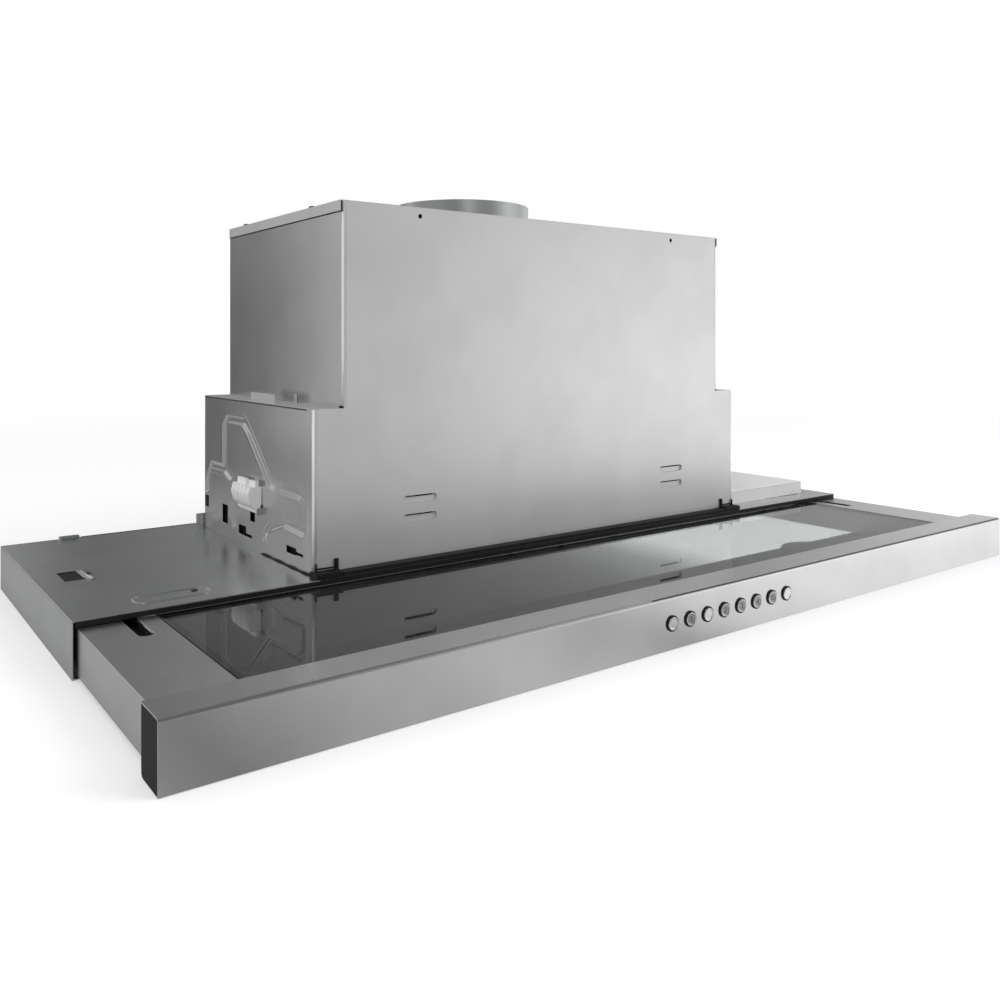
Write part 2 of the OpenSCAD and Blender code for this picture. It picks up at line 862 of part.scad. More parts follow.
module motor_rotor() {
    color("gray") {
        round_x(-disc_t / 2 - hub_l, motor_end - shaft_short, shaft_d / 2, fan_y, fan_z);
        round_x(motor_x + stack_inset, motor_x + stack_inset + stack_l, rotor_d / 2, fan_y, fan_z);
    }
}

module motor_bracket() {
    plate_x = scroll_w / 2 + scroll_t;
    color("darkgray") difference() {
        union() {
            round_x(plate_x, plate_x + clamp_ring_l, motor_d / 2 + clamp_ring_t, fan_y, fan_z);
            translate([plate_x, fan_y, fan_z]) for (a = [30, 150, 270]) rotate([a, 0, 0])
                block([0, arm_bar_t], [0, arm_bar_r], [-arm_bar_w / 2, arm_bar_w / 2]);
        }
        round_x(plate_x - cut, plate_x + clamp_ring_l + cut, motor_d / 2, fan_y, fan_z);
    }
}

module blade() {
    r0 = wheel_d / 2 - ring_w / 2 - blade_l;
    r1 = wheel_d / 2 - ring_w / 2;
    rm = (r0 + r1) / 2;
    bow = blade_sweep / 3;
    polygon([r0 * [cos(0), sin(0)], rm * [cos(bow), sin(bow)], r1 * [cos(blade_sweep), sin(blade_sweep)],
             (r1 * [cos(blade_sweep), sin(blade_sweep)]) + blade_t * [sin(blade_sweep), -cos(blade_sweep)],
             rm * [cos(bow), sin(bow)] + blade_t * [sin(bow), -cos(bow)], r0 * [1, 0] + blade_t * [0, -1]]);
}

module impeller() {
    color("dimgray") translate([0, fan_y, fan_z]) rotate([0, 90, 0]) difference() {
        union() {
            translate([0, 0, -wheel_w / 2]) linear_extrude(wheel_w)
                for (i = [0 : blade_count - 1]) rotate(i * 360 / blade_count) blade();
            translate([0, 0, -disc_t / 2]) cylinder(h = disc_t, r = wheel_d / 2 - ring_w / 2);
            for (z0 = [-wheel_w / 2, wheel_w / 2 - ring_t]) translate([0, 0, z0]) difference() {
                cylinder(h = ring_t, d = wheel_d);
                translate([0, 0, -cut]) cylinder(h = ring_t + 2 * cut, r = wheel_d / 2 - ring_w);
            }
            translate([0, 0, -disc_t / 2 - hub_l]) cylinder(h = hub_l + disc_t, d = hub_d);
        }
        translate([0, 0, -disc_t / 2 - hub_l - cut]) cylinder(h = hub_l + disc_t + 2 * cut, d = shaft_d);
    }
}

// Control box

module control_box() {
    color("whitesmoke") difference() {
        union() {
            block([box_x, box_x + box_l], [box_y, box_y + box_d], [tray_h, tray_h + box_h - box_cover_t]);
            round_y(box_y + box_d, box_y + box_d + inlet_l, inlet_d / 2,
                    box_x + box_l / 2, tray_h + box_h / 2);
        }
        block([box_x + box_wall, box_x + box_l - box_wall], [box_y + box_wall, box_y + box_d - box_wall],
              [tray_h + box_wall, tray_h + box_h]);
        round_y(box_y + box_d - box_wall - cut, box_y + box_d + inlet_l + cut, inlet_bore / 2,
                box_x + box_l / 2, tray_h + box_h / 2);
    }
}

module control_cover() {
    inside = box_wall + rest_gap;
    color("white") {
        block([box_x, box_x + box_l], [box_y, box_y + box_d], [tray_h + box_h - box_cover_t, tray_h + box_h]);
        difference() {
            block([box_x + inside, box_x + box_l - inside], [box_y + inside, box_y + box_d - inside],
                  [tray_h + box_h - box_cover_t - box_lip, tray_h + box_h - box_cover_t]);
            block([box_x + inside + box_wall, box_x + box_l - inside - box_wall],
                  [box_y + inside + box_wall, box_y + box_d - inside - box_wall],
                  [tray_h + box_h - box_cover_t - box_lip - cut, tray_h + box_h - box_cover_t]);
        }
    }
}

module power_board() {
    board_z = tray_h + box_wall + board_t;
    color("green") {
        block([box_x + pcb_margin, box_x + box_l - pcb_margin],
              [box_y + pcb_margin, box_y + box_d - pcb_margin],
              [board_z, board_z + board_t]);
        for (i = [0 : pcb_parts - 1])
            block([box_x + pcb_part_w, box_x + box_l / 2],
                  [box_y + i * pcb_pitch + pcb_part_w, box_y + i * pcb_pitch + 2 * pcb_part_w],
                  [board_z + board_t, board_z + board_t + pcb_part_h]);
        for (sx = [box_x + 2 * pcb_margin, box_x + box_l - 2 * pcb_margin],
             sy = [box_y + 2 * pcb_margin, box_y + box_d - 2 * pcb_margin])
            translate([sx, sy, tray_h + box_wall]) cylinder(h = board_t, d = box_post);
    }
}

// Side clamps, drawn on the left

clamp_axis_x = -lower_w / 2 - clamp_axis_out;
clamp_axis_z = clamp_z + clamp_axis_up;
// The clamp's section as shares of how far it stands out and of its height
clamp_section_shares = [[0.03, 1], [0.86, 1], [1, 0.75], [0.94, 0.55], [0.79, 0.36],
                        [0.5, 0.2], [0.2, 0.06], [0.12, 0.04], [0.12, 0.3], [0.03, 0.4]];

module clamp_outline(shrink) {
    polygon([for (p = clamp_section_shares)
        [-lower_w / 2 - (clamp_out - shrink) * p[0], clamp_z + clamp_h * p[1]]]);
}

module left_clamp() {
    rib_pitch = clamp_l / clamp_ribs;
    color("white") difference() {
        union() {
            upright(clamp_y, clamp_l) clamp_outline(rib_deep);
            for (i = [0 : clamp_ribs - 1])
                upright(clamp_y + i * rib_pitch, rib_pitch * (1 - rib_gap_share)) clamp_outline(0);
            for (tab = clamp_tab_shares)
                block([-lower_w / 2 - clamp_axis_out - clamp_tab_t, -lower_w / 2 - clamp_axis_out],
                      [clamp_y + tab[1] * clamp_l, clamp_y + (tab[0] + tab[1]) * clamp_l],
                      [clamp_z + clamp_h - cut, clamp_z + clamp_h + clamp_tab_h]);
            round_y(clamp_y, clamp_y + clamp_l, clamp_pin_r + clamp_plate_t, clamp_axis_x, clamp_axis_z);
        }
        round_y(clamp_y - cut, clamp_y + clamp_l + cut, clamp_pin_r + pin_gap, clamp_axis_x, clamp_axis_z);
    }
}

module right_clamp() {
    mirror([1, 0, 0]) left_clamp();
}

module clamp_brackets() {
    ear_y0 = clamp_y - rest_gap - clamp_ear_t;
    ear_y1 = clamp_y + clamp_l + rest_gap;
    color("darkgray") both_sides() {
        for (y0 = [ear_y0, ear_y1])
            block([-lower_w / 2 - clamp_ear_out, -lower_w / 2], [y0, y0 + clamp_ear_t],
                  [clamp_axis_z - clamp_ear_h / 2, clamp_axis_z + clamp_ear_h / 2]);
        round_y(ear_y0, ear_y1 + clamp_ear_t, clamp_pin_r, clamp_axis_x, clamp_axis_z);
    }
}

// Pull-out frame

// Outline of the bar's end in Y and Z, a distance inside its skin
module bar_outline(inset) {
    translate([inset, inset]) square([bar_t - 2 * inset, tray_h - bar_r - inset]);
    translate([bar_r, inset]) square([bar_t - bar_r - inset, tray_h - 2 * inset]);
    translate([bar_r, tray_h - bar_r]) circle(r = bar_r - inset);
}

// The space inside the bar's front and top sheet, open below and behind by an overrun
module cap_space(overrun) {
    translate([sheet, -overrun]) square([bar_t - sheet + overrun, tray_h - bar_r + overrun]);
    translate([bar_r, -overrun]) square([bar_t - bar_r + overrun, tray_h - sheet + overrun]);
    translate([bar_r, tray_h - bar_r]) circle(r = bar_r - sheet);
}

// Outline of an end cap, whose lower rear corner is round
module cap_outline() {
    difference() {
        cap_space(0);
        translate([bar_t - cap_r, 0]) difference() {
            translate([0, -cut]) square([cap_r + cut, cap_r + cut]);
            translate([0, cap_r]) circle(r = cap_r);
        }
    }
}

module button_places() {
    for (i = [0 : button_count - 1]) translate([button_first + i * button_pitch, 0, button_z]) children();
}

module front_bar() {
    color("silver") difference() {
        translate([0, bar_front, 0]) sideways(-bar_half, 2 * bar_half) difference() {
            bar_outline(0);
            bar_outline(sheet);
        }
        both_sides() translate([0, bar_front, 0]) sideways(profile_half, cap_t + cut) cap_space(cut);
        button_places()
            round_y(bar_front - cut, bar_front + sheet + cut, button_d / 2 + button_gap + bezel_t, 0, 0);
    }
}

module end_caps() {
    color("black") both_sides() translate([0, bar_front, 0]) {
        sideways(profile_half, cap_t) cap_outline();
        sideways(profile_half - cap_plug, cap_plug) bar_outline(sheet + rest_gap);
    }
}

module side_arms() {
    color("lightgray") both_sides() {
        difference() {
            block([arm_in, arm_out], [bar_back, arm_back], [arm_top - sheet, arm_top]);
            block([slot_x, slot_x + slot_w], [slot_front + slot_w / 2, arm_back + cut],
                  [arm_top - sheet - cut, arm_top + cut]);
            translate([slot_x + slot_w / 2, slot_front + slot_w / 2, arm_top - sheet - cut])
                cylinder(h = sheet + 2 * cut, d = slot_w);
        }
        block([arm_out - sheet, arm_out], [bar_back, arm_back], [arm_foot, arm_top - sheet]);
        block([arm_in, arm_in + sheet], [bar_back, arm_back], [inner_wall_z, arm_top - sheet]);
        block([arm_in - ledge_w, arm_in], [bar_back, crossbar_front - rest_gap], [ledge_z - sheet, ledge_z]);
    }
}

module slide_members() {
    color("silver") both_sides() {
        block([member_x, member_x + member_t], [bar_back + member_front_gap, arm_back - member_front_gap],
              [member_z, arm_top - sheet]);
        for (z0 = [member_z, member_top - member_t])
            block([member_x, member_x + member_t + member_flange],
                  [bar_back + member_front_gap, arm_back - member_front_gap], [z0, z0 + member_t]);
    }
}

module crossbar() {
    color("gray") difference() {
        block([-arm_in, arm_in], [crossbar_front, crossbar_front + crossbar_d],
              [pane_z - crossbar_h, pane_z]);
        block([-arm_in - cut, arm_in + cut],
              [crossbar_front + member_t, crossbar_front + crossbar_d - member_t],
              [pane_z - crossbar_h - cut, pane_z - member_t]);
    }
}

module glass_pane() {
    color("lightblue") block([-pane_half, pane_half], [bar_back + rest_gap, tray_front + pane_rear],
                             [pane_z, arm_top]);
}

module glass_seal() {
    color("black") both_sides() {
        block([pane_half, arm_in], [bar_back + rest_gap, tray_front + pane_rear], [pane_z, arm_top]);
        block([arm_in - seal_foot, arm_in], [bar_back + rest_gap, crossbar_front - rest_gap],
              [ledge_z, pane_z]);
    }
}

module lamp_places() {
    for (s = [-1, 1]) translate([s * lamp_x, lamp_y, 0]) children();
}

module lamp_panel() {
    color("lightgray") difference() {
        block([-panel_half, panel_half], [bar_back, panel_back], [panel_z, inner_wall_z]);
        lamp_places() translate([0, 0, panel_z - cut]) cylinder(h = sheet + 2 * cut, d = lens_d);
    }
}

module lamp_housings() {
    color("white") lamp_places() difference() {
        translate([0, 0, inner_wall_z]) cylinder(h = lamp_h, d = lens_d + 2 * lamp_rim);
        translate([0, 0, inner_wall_z - cut]) cylinder(h = lamp_h - lens_t + cut, d = lens_d);
    }
}

module lamp_lenses() {
    color("ivory") lamp_places() translate([0, 0, panel_z]) cylinder(h = lens_t, d = lens_d - 2 * lens_fit);
}

module button_bezels() {
    color("silver") button_places() difference() {
        round_y(bar_front - bezel_proud, bar_front + sheet, button_d / 2 + button_gap + bezel_t, 0, 0);
        round_y(bar_front - bezel_proud - cut, bar_front + sheet + cut, button_d / 2 + button_gap, 0, 0);
    }
}

button_stem_end = bar_front + sheet + rest_gap + button_flange_t + button_stem;
switch_front = button_stem_end + button_travel + rest_gap;

module switch_board() {
    board_half = -button_first + board_margin;
    board_y = switch_front + switch_t;
    color("green") {
        block([-board_half, board_half], [board_y, board_y + board_t],
              [button_z - board_h / 2, button_z + board_h / 2]);
        button_places() block([-switch_w / 2, switch_w / 2], [switch_front, board_y],
                              [-switch_w / 2, switch_w / 2]);
        for (s = [-1, 1])
            round_y(bar_front + sheet, board_y, standoff_d / 2, s * (board_half - standoff_d), button_z);
    }
}

module button(i) {
    x = button_first + i * button_pitch;
    flange_back = bar_front + sheet + rest_gap + button_flange_t;
    cap_l = flange_back - bar_front + button_proud;
    color("silver") translate([x, 0, button_z]) {
        translate([0, flange_back, 0]) rotate([90, 0, 0]) rotate_extrude() polygon([
            [0, 0], [button_d / 2 + button_flange, 0], [button_d / 2 + button_flange, button_flange_t],
            [button_d / 2, button_flange_t], [button_d / 2, cap_l - button_dome],
            [button_d / 2 - button_dome, cap_l], [0, cap_l]]);
        round_y(flange_back, button_stem_end, button_stem_d / 2, 0, 0);
    }
}

module button_1() { button(0); }
module button_2() { button(1); }
module button_3() { button(2); }
module button_4() { button(3); }
module button_5() { button(4); }
module button_6() { button(5); }
module button_7() { button(6); }
module button_8() { button(7); }

// Filters

module filter() {
    inner_x = [filter_half_in + filter_rim, filter_half_out - filter_rim];
    inner_y = [filter_y0 + filter_rim, filter_y1 - filter_rim];
    pitch = (inner_x[1] - inner_x[0]) / filter_slots;
    color("silver") {
        difference() {
            block([filter_half_in, filter_half_out], [filter_y0, filter_y1], [filter_z, filter_top]);
            block(inner_x, inner_y, [filter_z - cut, hinge_z - filter_skin]);
            block(inner_x, inner_y, [hinge_z + filter_skin, filter_top + cut]);
            for (i = [0 : filter_slots - 1])
                block([inner_x[0] + (i + (1 - slot_share) / 2) * pitch,
                       inner_x[0] + (i + (1 + slot_share) / 2) * pitch],
                      [filter_y0 + 2 * filter_rim, filter_y1 - 2 * filter_rim], [filter_z, filter_top]);
            block([latch_x - latch_w / 2 - rest_gap, latch_x + latch_w / 2 + rest_gap],
                  [filter_y0 + latch_lip, filter_y0 + latch_lip + latch_t + latch_travel + 2 * rest_gap],
                  [filter_z - cut, filter_z + latch_floor]);
            block([latch_x - tongue_w / 2 - rest_gap, latch_x + tongue_w / 2 + rest_gap],
                  [filter_y0 - cut, filter_y0 + latch_lip + cut],
                  [filter_z + tongue_rise - rest_gap, filter_z + tongue_rise + tongue_t + rest_gap]);
        }
        round_x(filter_half_out, filter_half_out + stub_l, hinge_pin_r, hinge_y, hinge_z);
        round_x(filter_half_in - stub_l, filter_half_in, hinge_pin_r, hinge_y, hinge_z);
    }
}

module right_filter() { filter(); }
module left_filter() { mirror([1, 0, 0]) filter(); }

module latch() {
    color("dimgray") {
        block([latch_x - latch_w / 2, latch_x + latch_w / 2],
              [filter_y0 + latch_lip + rest_gap, filter_y0 + latch_lip + rest_gap + latch_t],
              [filter_z + rest_gap, filter_z + latch_floor - rest_gap]);
        block([latch_x - tongue_w / 2, latch_x + tongue_w / 2],
              [filter_y0 - tongue_l, filter_y0 + latch_lip + rest_gap],
              [filter_z + tongue_rise, filter_z + tongue_rise + tongue_t]);
    }
}

module right_latch() { latch(); }
module left_latch() { mirror([1, 0, 0]) latch(); }

tray_top();
tray_sides();
tray_rear();
filter_rail();
slide_rails();
front_panel();
rear_panel();
upper_sides();
left_lower_side();
right_lower_side();
shoulders();
top_cover();
cover_screws();
duct_collar();
flap_pin();
front_seal();
corner_clips();
control_box();
control_cover();
power_board();
scroll_left();
scroll_right();
outlet_duct();
fan_rails();
fan_mounts();
motor_can();
motor_stator();
motor_bearings();
motor_bracket();
clamp_brackets();
front_bar();
end_caps();
side_arms();
slide_members();
crossbar();
glass_pane();
glass_seal();
lamp_panel();
lamp_housings();
lamp_lenses();
button_bezels();
switch_board();
button_1();
button_2();
button_3();
button_4();
button_5();
button_6();
button_7();
button_8();
impeller();
motor_rotor();
flap_front();
flap_back();
left_filter();
right_filter();
left_latch();
right_latch();
left_clamp();
right_clamp();
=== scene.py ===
"""A telescopic range hood, pulled out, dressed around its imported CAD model."""
import math

import bpy
import numpy as np
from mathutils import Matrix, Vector


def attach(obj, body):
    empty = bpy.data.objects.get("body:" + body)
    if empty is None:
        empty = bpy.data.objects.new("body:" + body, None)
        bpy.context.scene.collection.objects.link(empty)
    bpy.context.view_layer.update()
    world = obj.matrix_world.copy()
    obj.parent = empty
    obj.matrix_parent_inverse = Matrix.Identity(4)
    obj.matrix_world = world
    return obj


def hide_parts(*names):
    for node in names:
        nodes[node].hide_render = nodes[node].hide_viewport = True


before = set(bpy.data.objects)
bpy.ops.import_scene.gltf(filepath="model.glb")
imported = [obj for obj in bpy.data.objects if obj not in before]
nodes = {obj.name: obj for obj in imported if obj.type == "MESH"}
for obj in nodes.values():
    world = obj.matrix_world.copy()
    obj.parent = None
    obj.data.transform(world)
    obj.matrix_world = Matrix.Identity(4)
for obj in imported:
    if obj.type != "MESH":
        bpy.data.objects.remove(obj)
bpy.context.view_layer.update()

# Camera
# The photograph was taken level, about 36 degrees round to the left of the hood's front, from close by. The lens is
# shifted down, which keeps the body's upright edges parallel.
CAMERA_AT = (-0.5903, -0.70856, 0.22953)
CAMERA_TURN = 36.15
FOCAL_LENGTH, SENSOR_WIDTH = 32.94, 36
SHIFT_RIGHT, SHIFT_DOWN = 0.02142, 0.15725
NEAREST = 0.01
camera_data = bpy.data.cameras.new("camera")
camera_data.sensor_width = SENSOR_WIDTH
camera_data.lens = FOCAL_LENGTH
camera_data.shift_x = SHIFT_RIGHT
camera_data.shift_y = -SHIFT_DOWN
camera_data.clip_start = NEAREST
camera = bpy.data.objects.new("camera", camera_data)
camera.location = CAMERA_AT
camera.rotation_euler = (math.radians(90), 0, math.radians(-CAMERA_TURN))
bpy.context.scene.collection.objects.link(camera)
bpy.context.scene.camera = camera

# Studio
# A white room whose light comes from the right: metal mirrors a run from greys at the left to white at the right,
# and pale surfaces are lit evenly. The floor is a pale sheet that keeps a faint shadow.
SCENE = bpy.context.scene
SCENE.view_settings.view_transform = "Standard"
LIGHT_SIDE = (0.985, -0.174, 0.0)
# Brightness of the room in a mirror, from opposite the light to towards it: place on the run, value
ROOM_RUN = [(0.0, 0.34), (0.13, 0.26), (0.17, 0.1), (0.21, 0.09), (0.25, 0.03), (0.31, 0.05), (0.35, 0.8),
            (0.42, 0.8), (0.49, 0.26), (0.525, 0.14), (0.6, 0.16), (0.7, 0.3), (0.8, 0.52), (0.86, 0.9),
            (0.935, 2.1), (0.965, 1.5), (1.0, 0.8)]
# The same for what is higher up in the room, which is darker towards the light, and the rise of a direction over
# which it takes the first one's place
UPPER_RUN = [(0.0, 0.34), (0.13, 0.3), (0.25, 0.1), (0.35, 0.7), (0.42, 0.7), (0.49, 0.28), (0.525, 0.13),
             (0.585, 0.26), (0.64, 0.17), (0.7, 0.12), (0.8, 0.28), (0.87, 0.46), (0.92, 0.5), (1.0, 0.5)]
UPPER_FROM, UPPER_TO = 0.07, 0.16
# The same for the floor close by, from its left to its right, 1.2 m apart
NEAR_SPAN = 0.6
NEAR_RUN = [(0.0, 0.42), (0.11, 0.42), (0.135, 0.3), (0.16, 0.24), (0.217, 0.42), (0.342, 0.62), (0.4, 0.54),
            (0.467, 0.44), (0.53, 0.76), (0.637, 0.98), (1.0, 1.05)]
# And for the floor seen through the glass, which shades it most at the left
SHADED_RUN = [(0.0, 0.01), (0.42, 0.03), (0.5, 0.08), (0.54, 0.12), (0.6, 0.3), (0.66, 0.9), (1.0, 1.0)]
SHADED_GAIN = 5.0
# Strength of the room's light on matt surfaces
DIFFUSE_LIGHT = 0.7
# The floor's half width and how far it lies below the hood, in metres; its paper's grey, and what lifts it to white
FLOOR_HALF, FLOOR_DROP = 40.0, 0.0005
PAPER_GREY, PAPER_LIFT = (0.82, 0.82, 0.82, 1), 0.3
# Distances in metres over which a mirrored floor turns into the mirrored room, and a seen one fades to white
MIRRORED_FADE, SEEN_FADE = (0.55, 1.0), (0.9, 2.5)
WHITE = (1, 1, 1, 1)


def add_node(tree, kind, inputs=None, stops=None, **settings):
    """Adds a node with its settings, its links or values by socket, and a ramp's stops as (place, grey or colour)."""
    made = tree.nodes.new(kind)
    for key, value in settings.items():
        setattr(made, key, value)
    for key, value in (inputs or {}).items():
        if isinstance(value, bpy.types.NodeSocket):
            tree.links.new(value, made.inputs[key])
        else:
            made.inputs[key].default_value = value
    if stops:
        elements = made.color_ramp.elements
        while len(elements) < len(stops):
            elements.new(1.0)
        for element, (spot, tone) in zip(elements, stops):
            element.position = spot
            element.color = tone if isinstance(tone, tuple) else (tone, tone, tone, 1.0)
    return made


def mirrored_room(tree, direction):
    """What a mirror sees of the room along a direction."""
    along = add_node(tree, "ShaderNodeVectorMath", {0: direction, 1: LIGHT_SIDE}, operation="DOT_PRODUCT")
    place = add_node(tree, "ShaderNodeMapRange", {"Value": along.outputs["Value"], "From Min": -1.0, "From Max": 1.0})
    low = add_node(tree, "ShaderNodeValToRGB", {"Fac": place.outputs["Result"]}, stops=ROOM_RUN)
    high = add_node(tree, "ShaderNodeValToRGB", {"Fac": place.outputs["Result"]}, stops=UPPER_RUN)
    height = add_node(tree, "ShaderNodeSeparateXYZ", {0: direction}).outputs["Z"]
    up = add_node(tree, "ShaderNodeMapRange", {"Value": height, "From Min": UPPER_FROM, "From Max": UPPER_TO})
    both = add_node(tree, "ShaderNodeMix", {"Factor": up.outputs["Result"], "A": low.outputs["Color"],
                                            "B": high.outputs["Color"]}, data_type="RGBA")
    return both.outputs["Result"]


world = bpy.data.worlds.new("studio")
SCENE.world = world
world.use_nodes = True
tree = world.node_tree
tree.nodes.clear()
paths = add_node(tree, "ShaderNodeLightPath").outputs
direction = add_node(tree, "ShaderNodeTexCoord").outputs["Generated"]
white = add_node(tree, "ShaderNodeBackground", {"Color": WHITE, "Strength": 1.0})
soft = add_node(tree, "ShaderNodeBackground", {"Color": WHITE, "Strength": DIFFUSE_LIGHT})
mirrored = add_node(tree, "ShaderNodeBackground", {"Color": mirrored_room(tree, direction), "Strength": 1.0})
seen = add_node(tree, "ShaderNodeMath", {0: paths["Is Camera Ray"], 1: paths["Is Transmission Ray"]},
                operation="MAXIMUM")
lit = add_node(tree, "ShaderNodeMixShader", {0: paths["Is Glossy Ray"], 1: soft.outputs[0], 2: mirrored.outputs[0]})
shown = add_node(tree, "ShaderNodeMixShader", {0: seen.outputs[0], 1: lit.outputs[0], 2: white.outputs[0]})
add_node(tree, "ShaderNodeOutputWorld", {"Surface": shown.outputs[0]})

floor_mesh = bpy.data.meshes.new("floor")
floor_mesh.from_pydata([(-FLOOR_HALF, -FLOOR_HALF, 0), (FLOOR_HALF, -FLOOR_HALF, 0), (FLOOR_HALF, FLOOR_HALF, 0),
                        (-FLOOR_HALF, FLOOR_HALF, 0)], [], [(0, 1, 2, 3)])
floor = bpy.data.objects.new("floor", floor_mesh)
floor.location.z = -FLOOR_DROP
SCENE.collection.objects.link(floor)
floor_paint = bpy.data.materials.new("matt_white_paper")
floor_paint.use_nodes = True
tree = floor_paint.node_tree
tree.nodes.clear()
paths = add_node(tree, "ShaderNodeLightPath").outputs
place = add_node(tree, "ShaderNodeNewGeometry").outputs["Position"]
outward = add_node(tree, "ShaderNodeVectorMath", {0: place}, operation="NORMALIZE")
reach = add_node(tree, "ShaderNodeVectorMath", {0: place}, operation="LENGTH").outputs["Value"]
across = add_node(tree, "ShaderNodeSeparateXYZ", {0: place}).outputs["X"]
across = add_node(tree, "ShaderNodeMapRange", {"Value": across, "From Min": -NEAR_SPAN, "From Max": NEAR_SPAN})
near = add_node(tree, "ShaderNodeValToRGB", {"Fac": across.outputs[0]}, stops=NEAR_RUN)
shaded = add_node(tree, "ShaderNodeValToRGB", {"Fac": across.outputs[0]}, stops=SHADED_RUN)
far_off = add_node(tree, "ShaderNodeMapRange", {"Value": reach, "From Min": MIRRORED_FADE[0],
                                                "From Max": MIRRORED_FADE[1]})
out_of_sight = add_node(tree, "ShaderNodeMapRange", {"Value": reach, "From Min": SEEN_FADE[0],
                                                     "From Max": SEEN_FADE[1]})
paper = add_node(tree, "ShaderNodeBsdfDiffuse", {"Color": PAPER_GREY})
lift = add_node(tree, "ShaderNodeEmission", {"Color": WHITE, "Strength": PAPER_LIFT})
lifted = add_node(tree, "ShaderNodeAddShader", {0: paper.outputs[0], 1: lift.outputs[0]})
white = add_node(tree, "ShaderNodeEmission", {"Color": WHITE, "Strength": 1.0})
plain = add_node(tree, "ShaderNodeMixShader", {0: out_of_sight.outputs[0], 1: lifted.outputs[0], 2: white.outputs[0]})
near_glow = add_node(tree, "ShaderNodeEmission", {"Color": near.outputs[0]})
far_glow = add_node(tree, "ShaderNodeEmission", {"Color": mirrored_room(tree, outward.outputs[0])})
mirrored = add_node(tree, "ShaderNodeMixShader", {0: far_off.outputs[0], 1: near_glow.outputs[0],
                                                  2: far_glow.outputs[0]})
shade = add_node(tree, "ShaderNodeEmission", {"Color": shaded.outputs[0], "Strength": SHADED_GAIN})
through = add_node(tree, "ShaderNodeMixShader", {0: far_off.outputs[0], 1: shade.outputs[0], 2: white.outputs[0]})
lit = add_node(tree, "ShaderNodeMixShader", {0: paths["Is Glossy Ray"], 1: paper.outputs[0], 2: mirrored.outputs[0]})
lit = add_node(tree, "ShaderNodeMixShader", {0: paths["Is Transmission Ray"], 1: lit.outputs[0],
                                             2: through.outputs[0]})
shown = add_node(tree, "ShaderNodeMixShader", {0: paths["Is Camera Ray"], 1: lit.outputs[0], 2: plain.outputs[0]})
add_node(tree, "ShaderNodeOutputMaterial", {"Surface": shown.outputs[0]})
floor_mesh.materials.append(floor_paint)


def add_lamp(name, place, target, size, power, height=None, mirrored=False):
    """A soft lamp, round or upright. It either lights matt surfaces or shows in the mirror of the metal."""
    data = bpy.data.lights.new(name, "AREA")
    data.shape = "RECTANGLE" if height else "DISK"
    data.size = size
    data.size_y = height or size
    data.energy = power
    lamp = bpy.data.objects.new(name, data)
    lamp.location = place
    lamp.rotation_euler = (Vector(target) - Vector(place)).to_track_quat("-Z", "Y").to_euler()
    lamp.visible_glossy = mirrored
    lamp.visible_diffuse = not mirrored
    lamp.visible_camera = False
    lamp.visible_transmission = False
    SCENE.collection.objects.link(lamp)


# Each lamp's place and target and its size in metres, and its power in watts. The sheen is what the left side plates
# mirror, brightest at their front edges.
HOOD_MIDDLE = (0, 0, 0.1)
add_lamp("key", (1.6, -1.8, 2.2), HOOD_MIDDLE, 1.6, 22)
add_lamp("fill", (-1.8, -1.2, 1.4), HOOD_MIDDLE, 1.6, 13)
add_lamp("sheen", (-0.73, 0.73, 0.4), (-0.26, 0, 0.4), 0.26, 0.29, height=0.7, mirrored=True)


# Fixed tray
# Cold-rolled stainless sheet, folded down at both sides and at the rear, with a cross rail under it that the filters
# latch to. Tabs, nuts and hooks on its top hold it in the cabinet, and a black strip under its front edge is painted
# shade in the gap there.
MM = 0.001


def linear(code):
    """An sRGB hex colour as linear red, green, blue and alpha."""
    parts = [int(code[i:i + 2], 16) / 255 for i in (0, 2, 4)]
    return tuple(p / 12.92 if p <= 0.04045 else ((p + 0.055) / 1.055) ** 2.4 for p in parts) + (1.0,)


# Finger smudges about 55 mm apart darken sheet metal to 94%, and clouds about 85 mm apart moulded stuff to 93%, so
# that no large face is quite even
SMUDGES_PER_METRE, SMUDGED = 18.0, 0.94
CLOUDS_PER_METRE, CLOUDED = 12.0, 0.93
# How far the roughness of moulded stuff goes up and down over its texture
GLOSS_SWING = 0.04
# The noise of one layer lies around 0.5 and that of two added layers around 1. The stops and ranges below spread what
# lies near that over the whole effect.


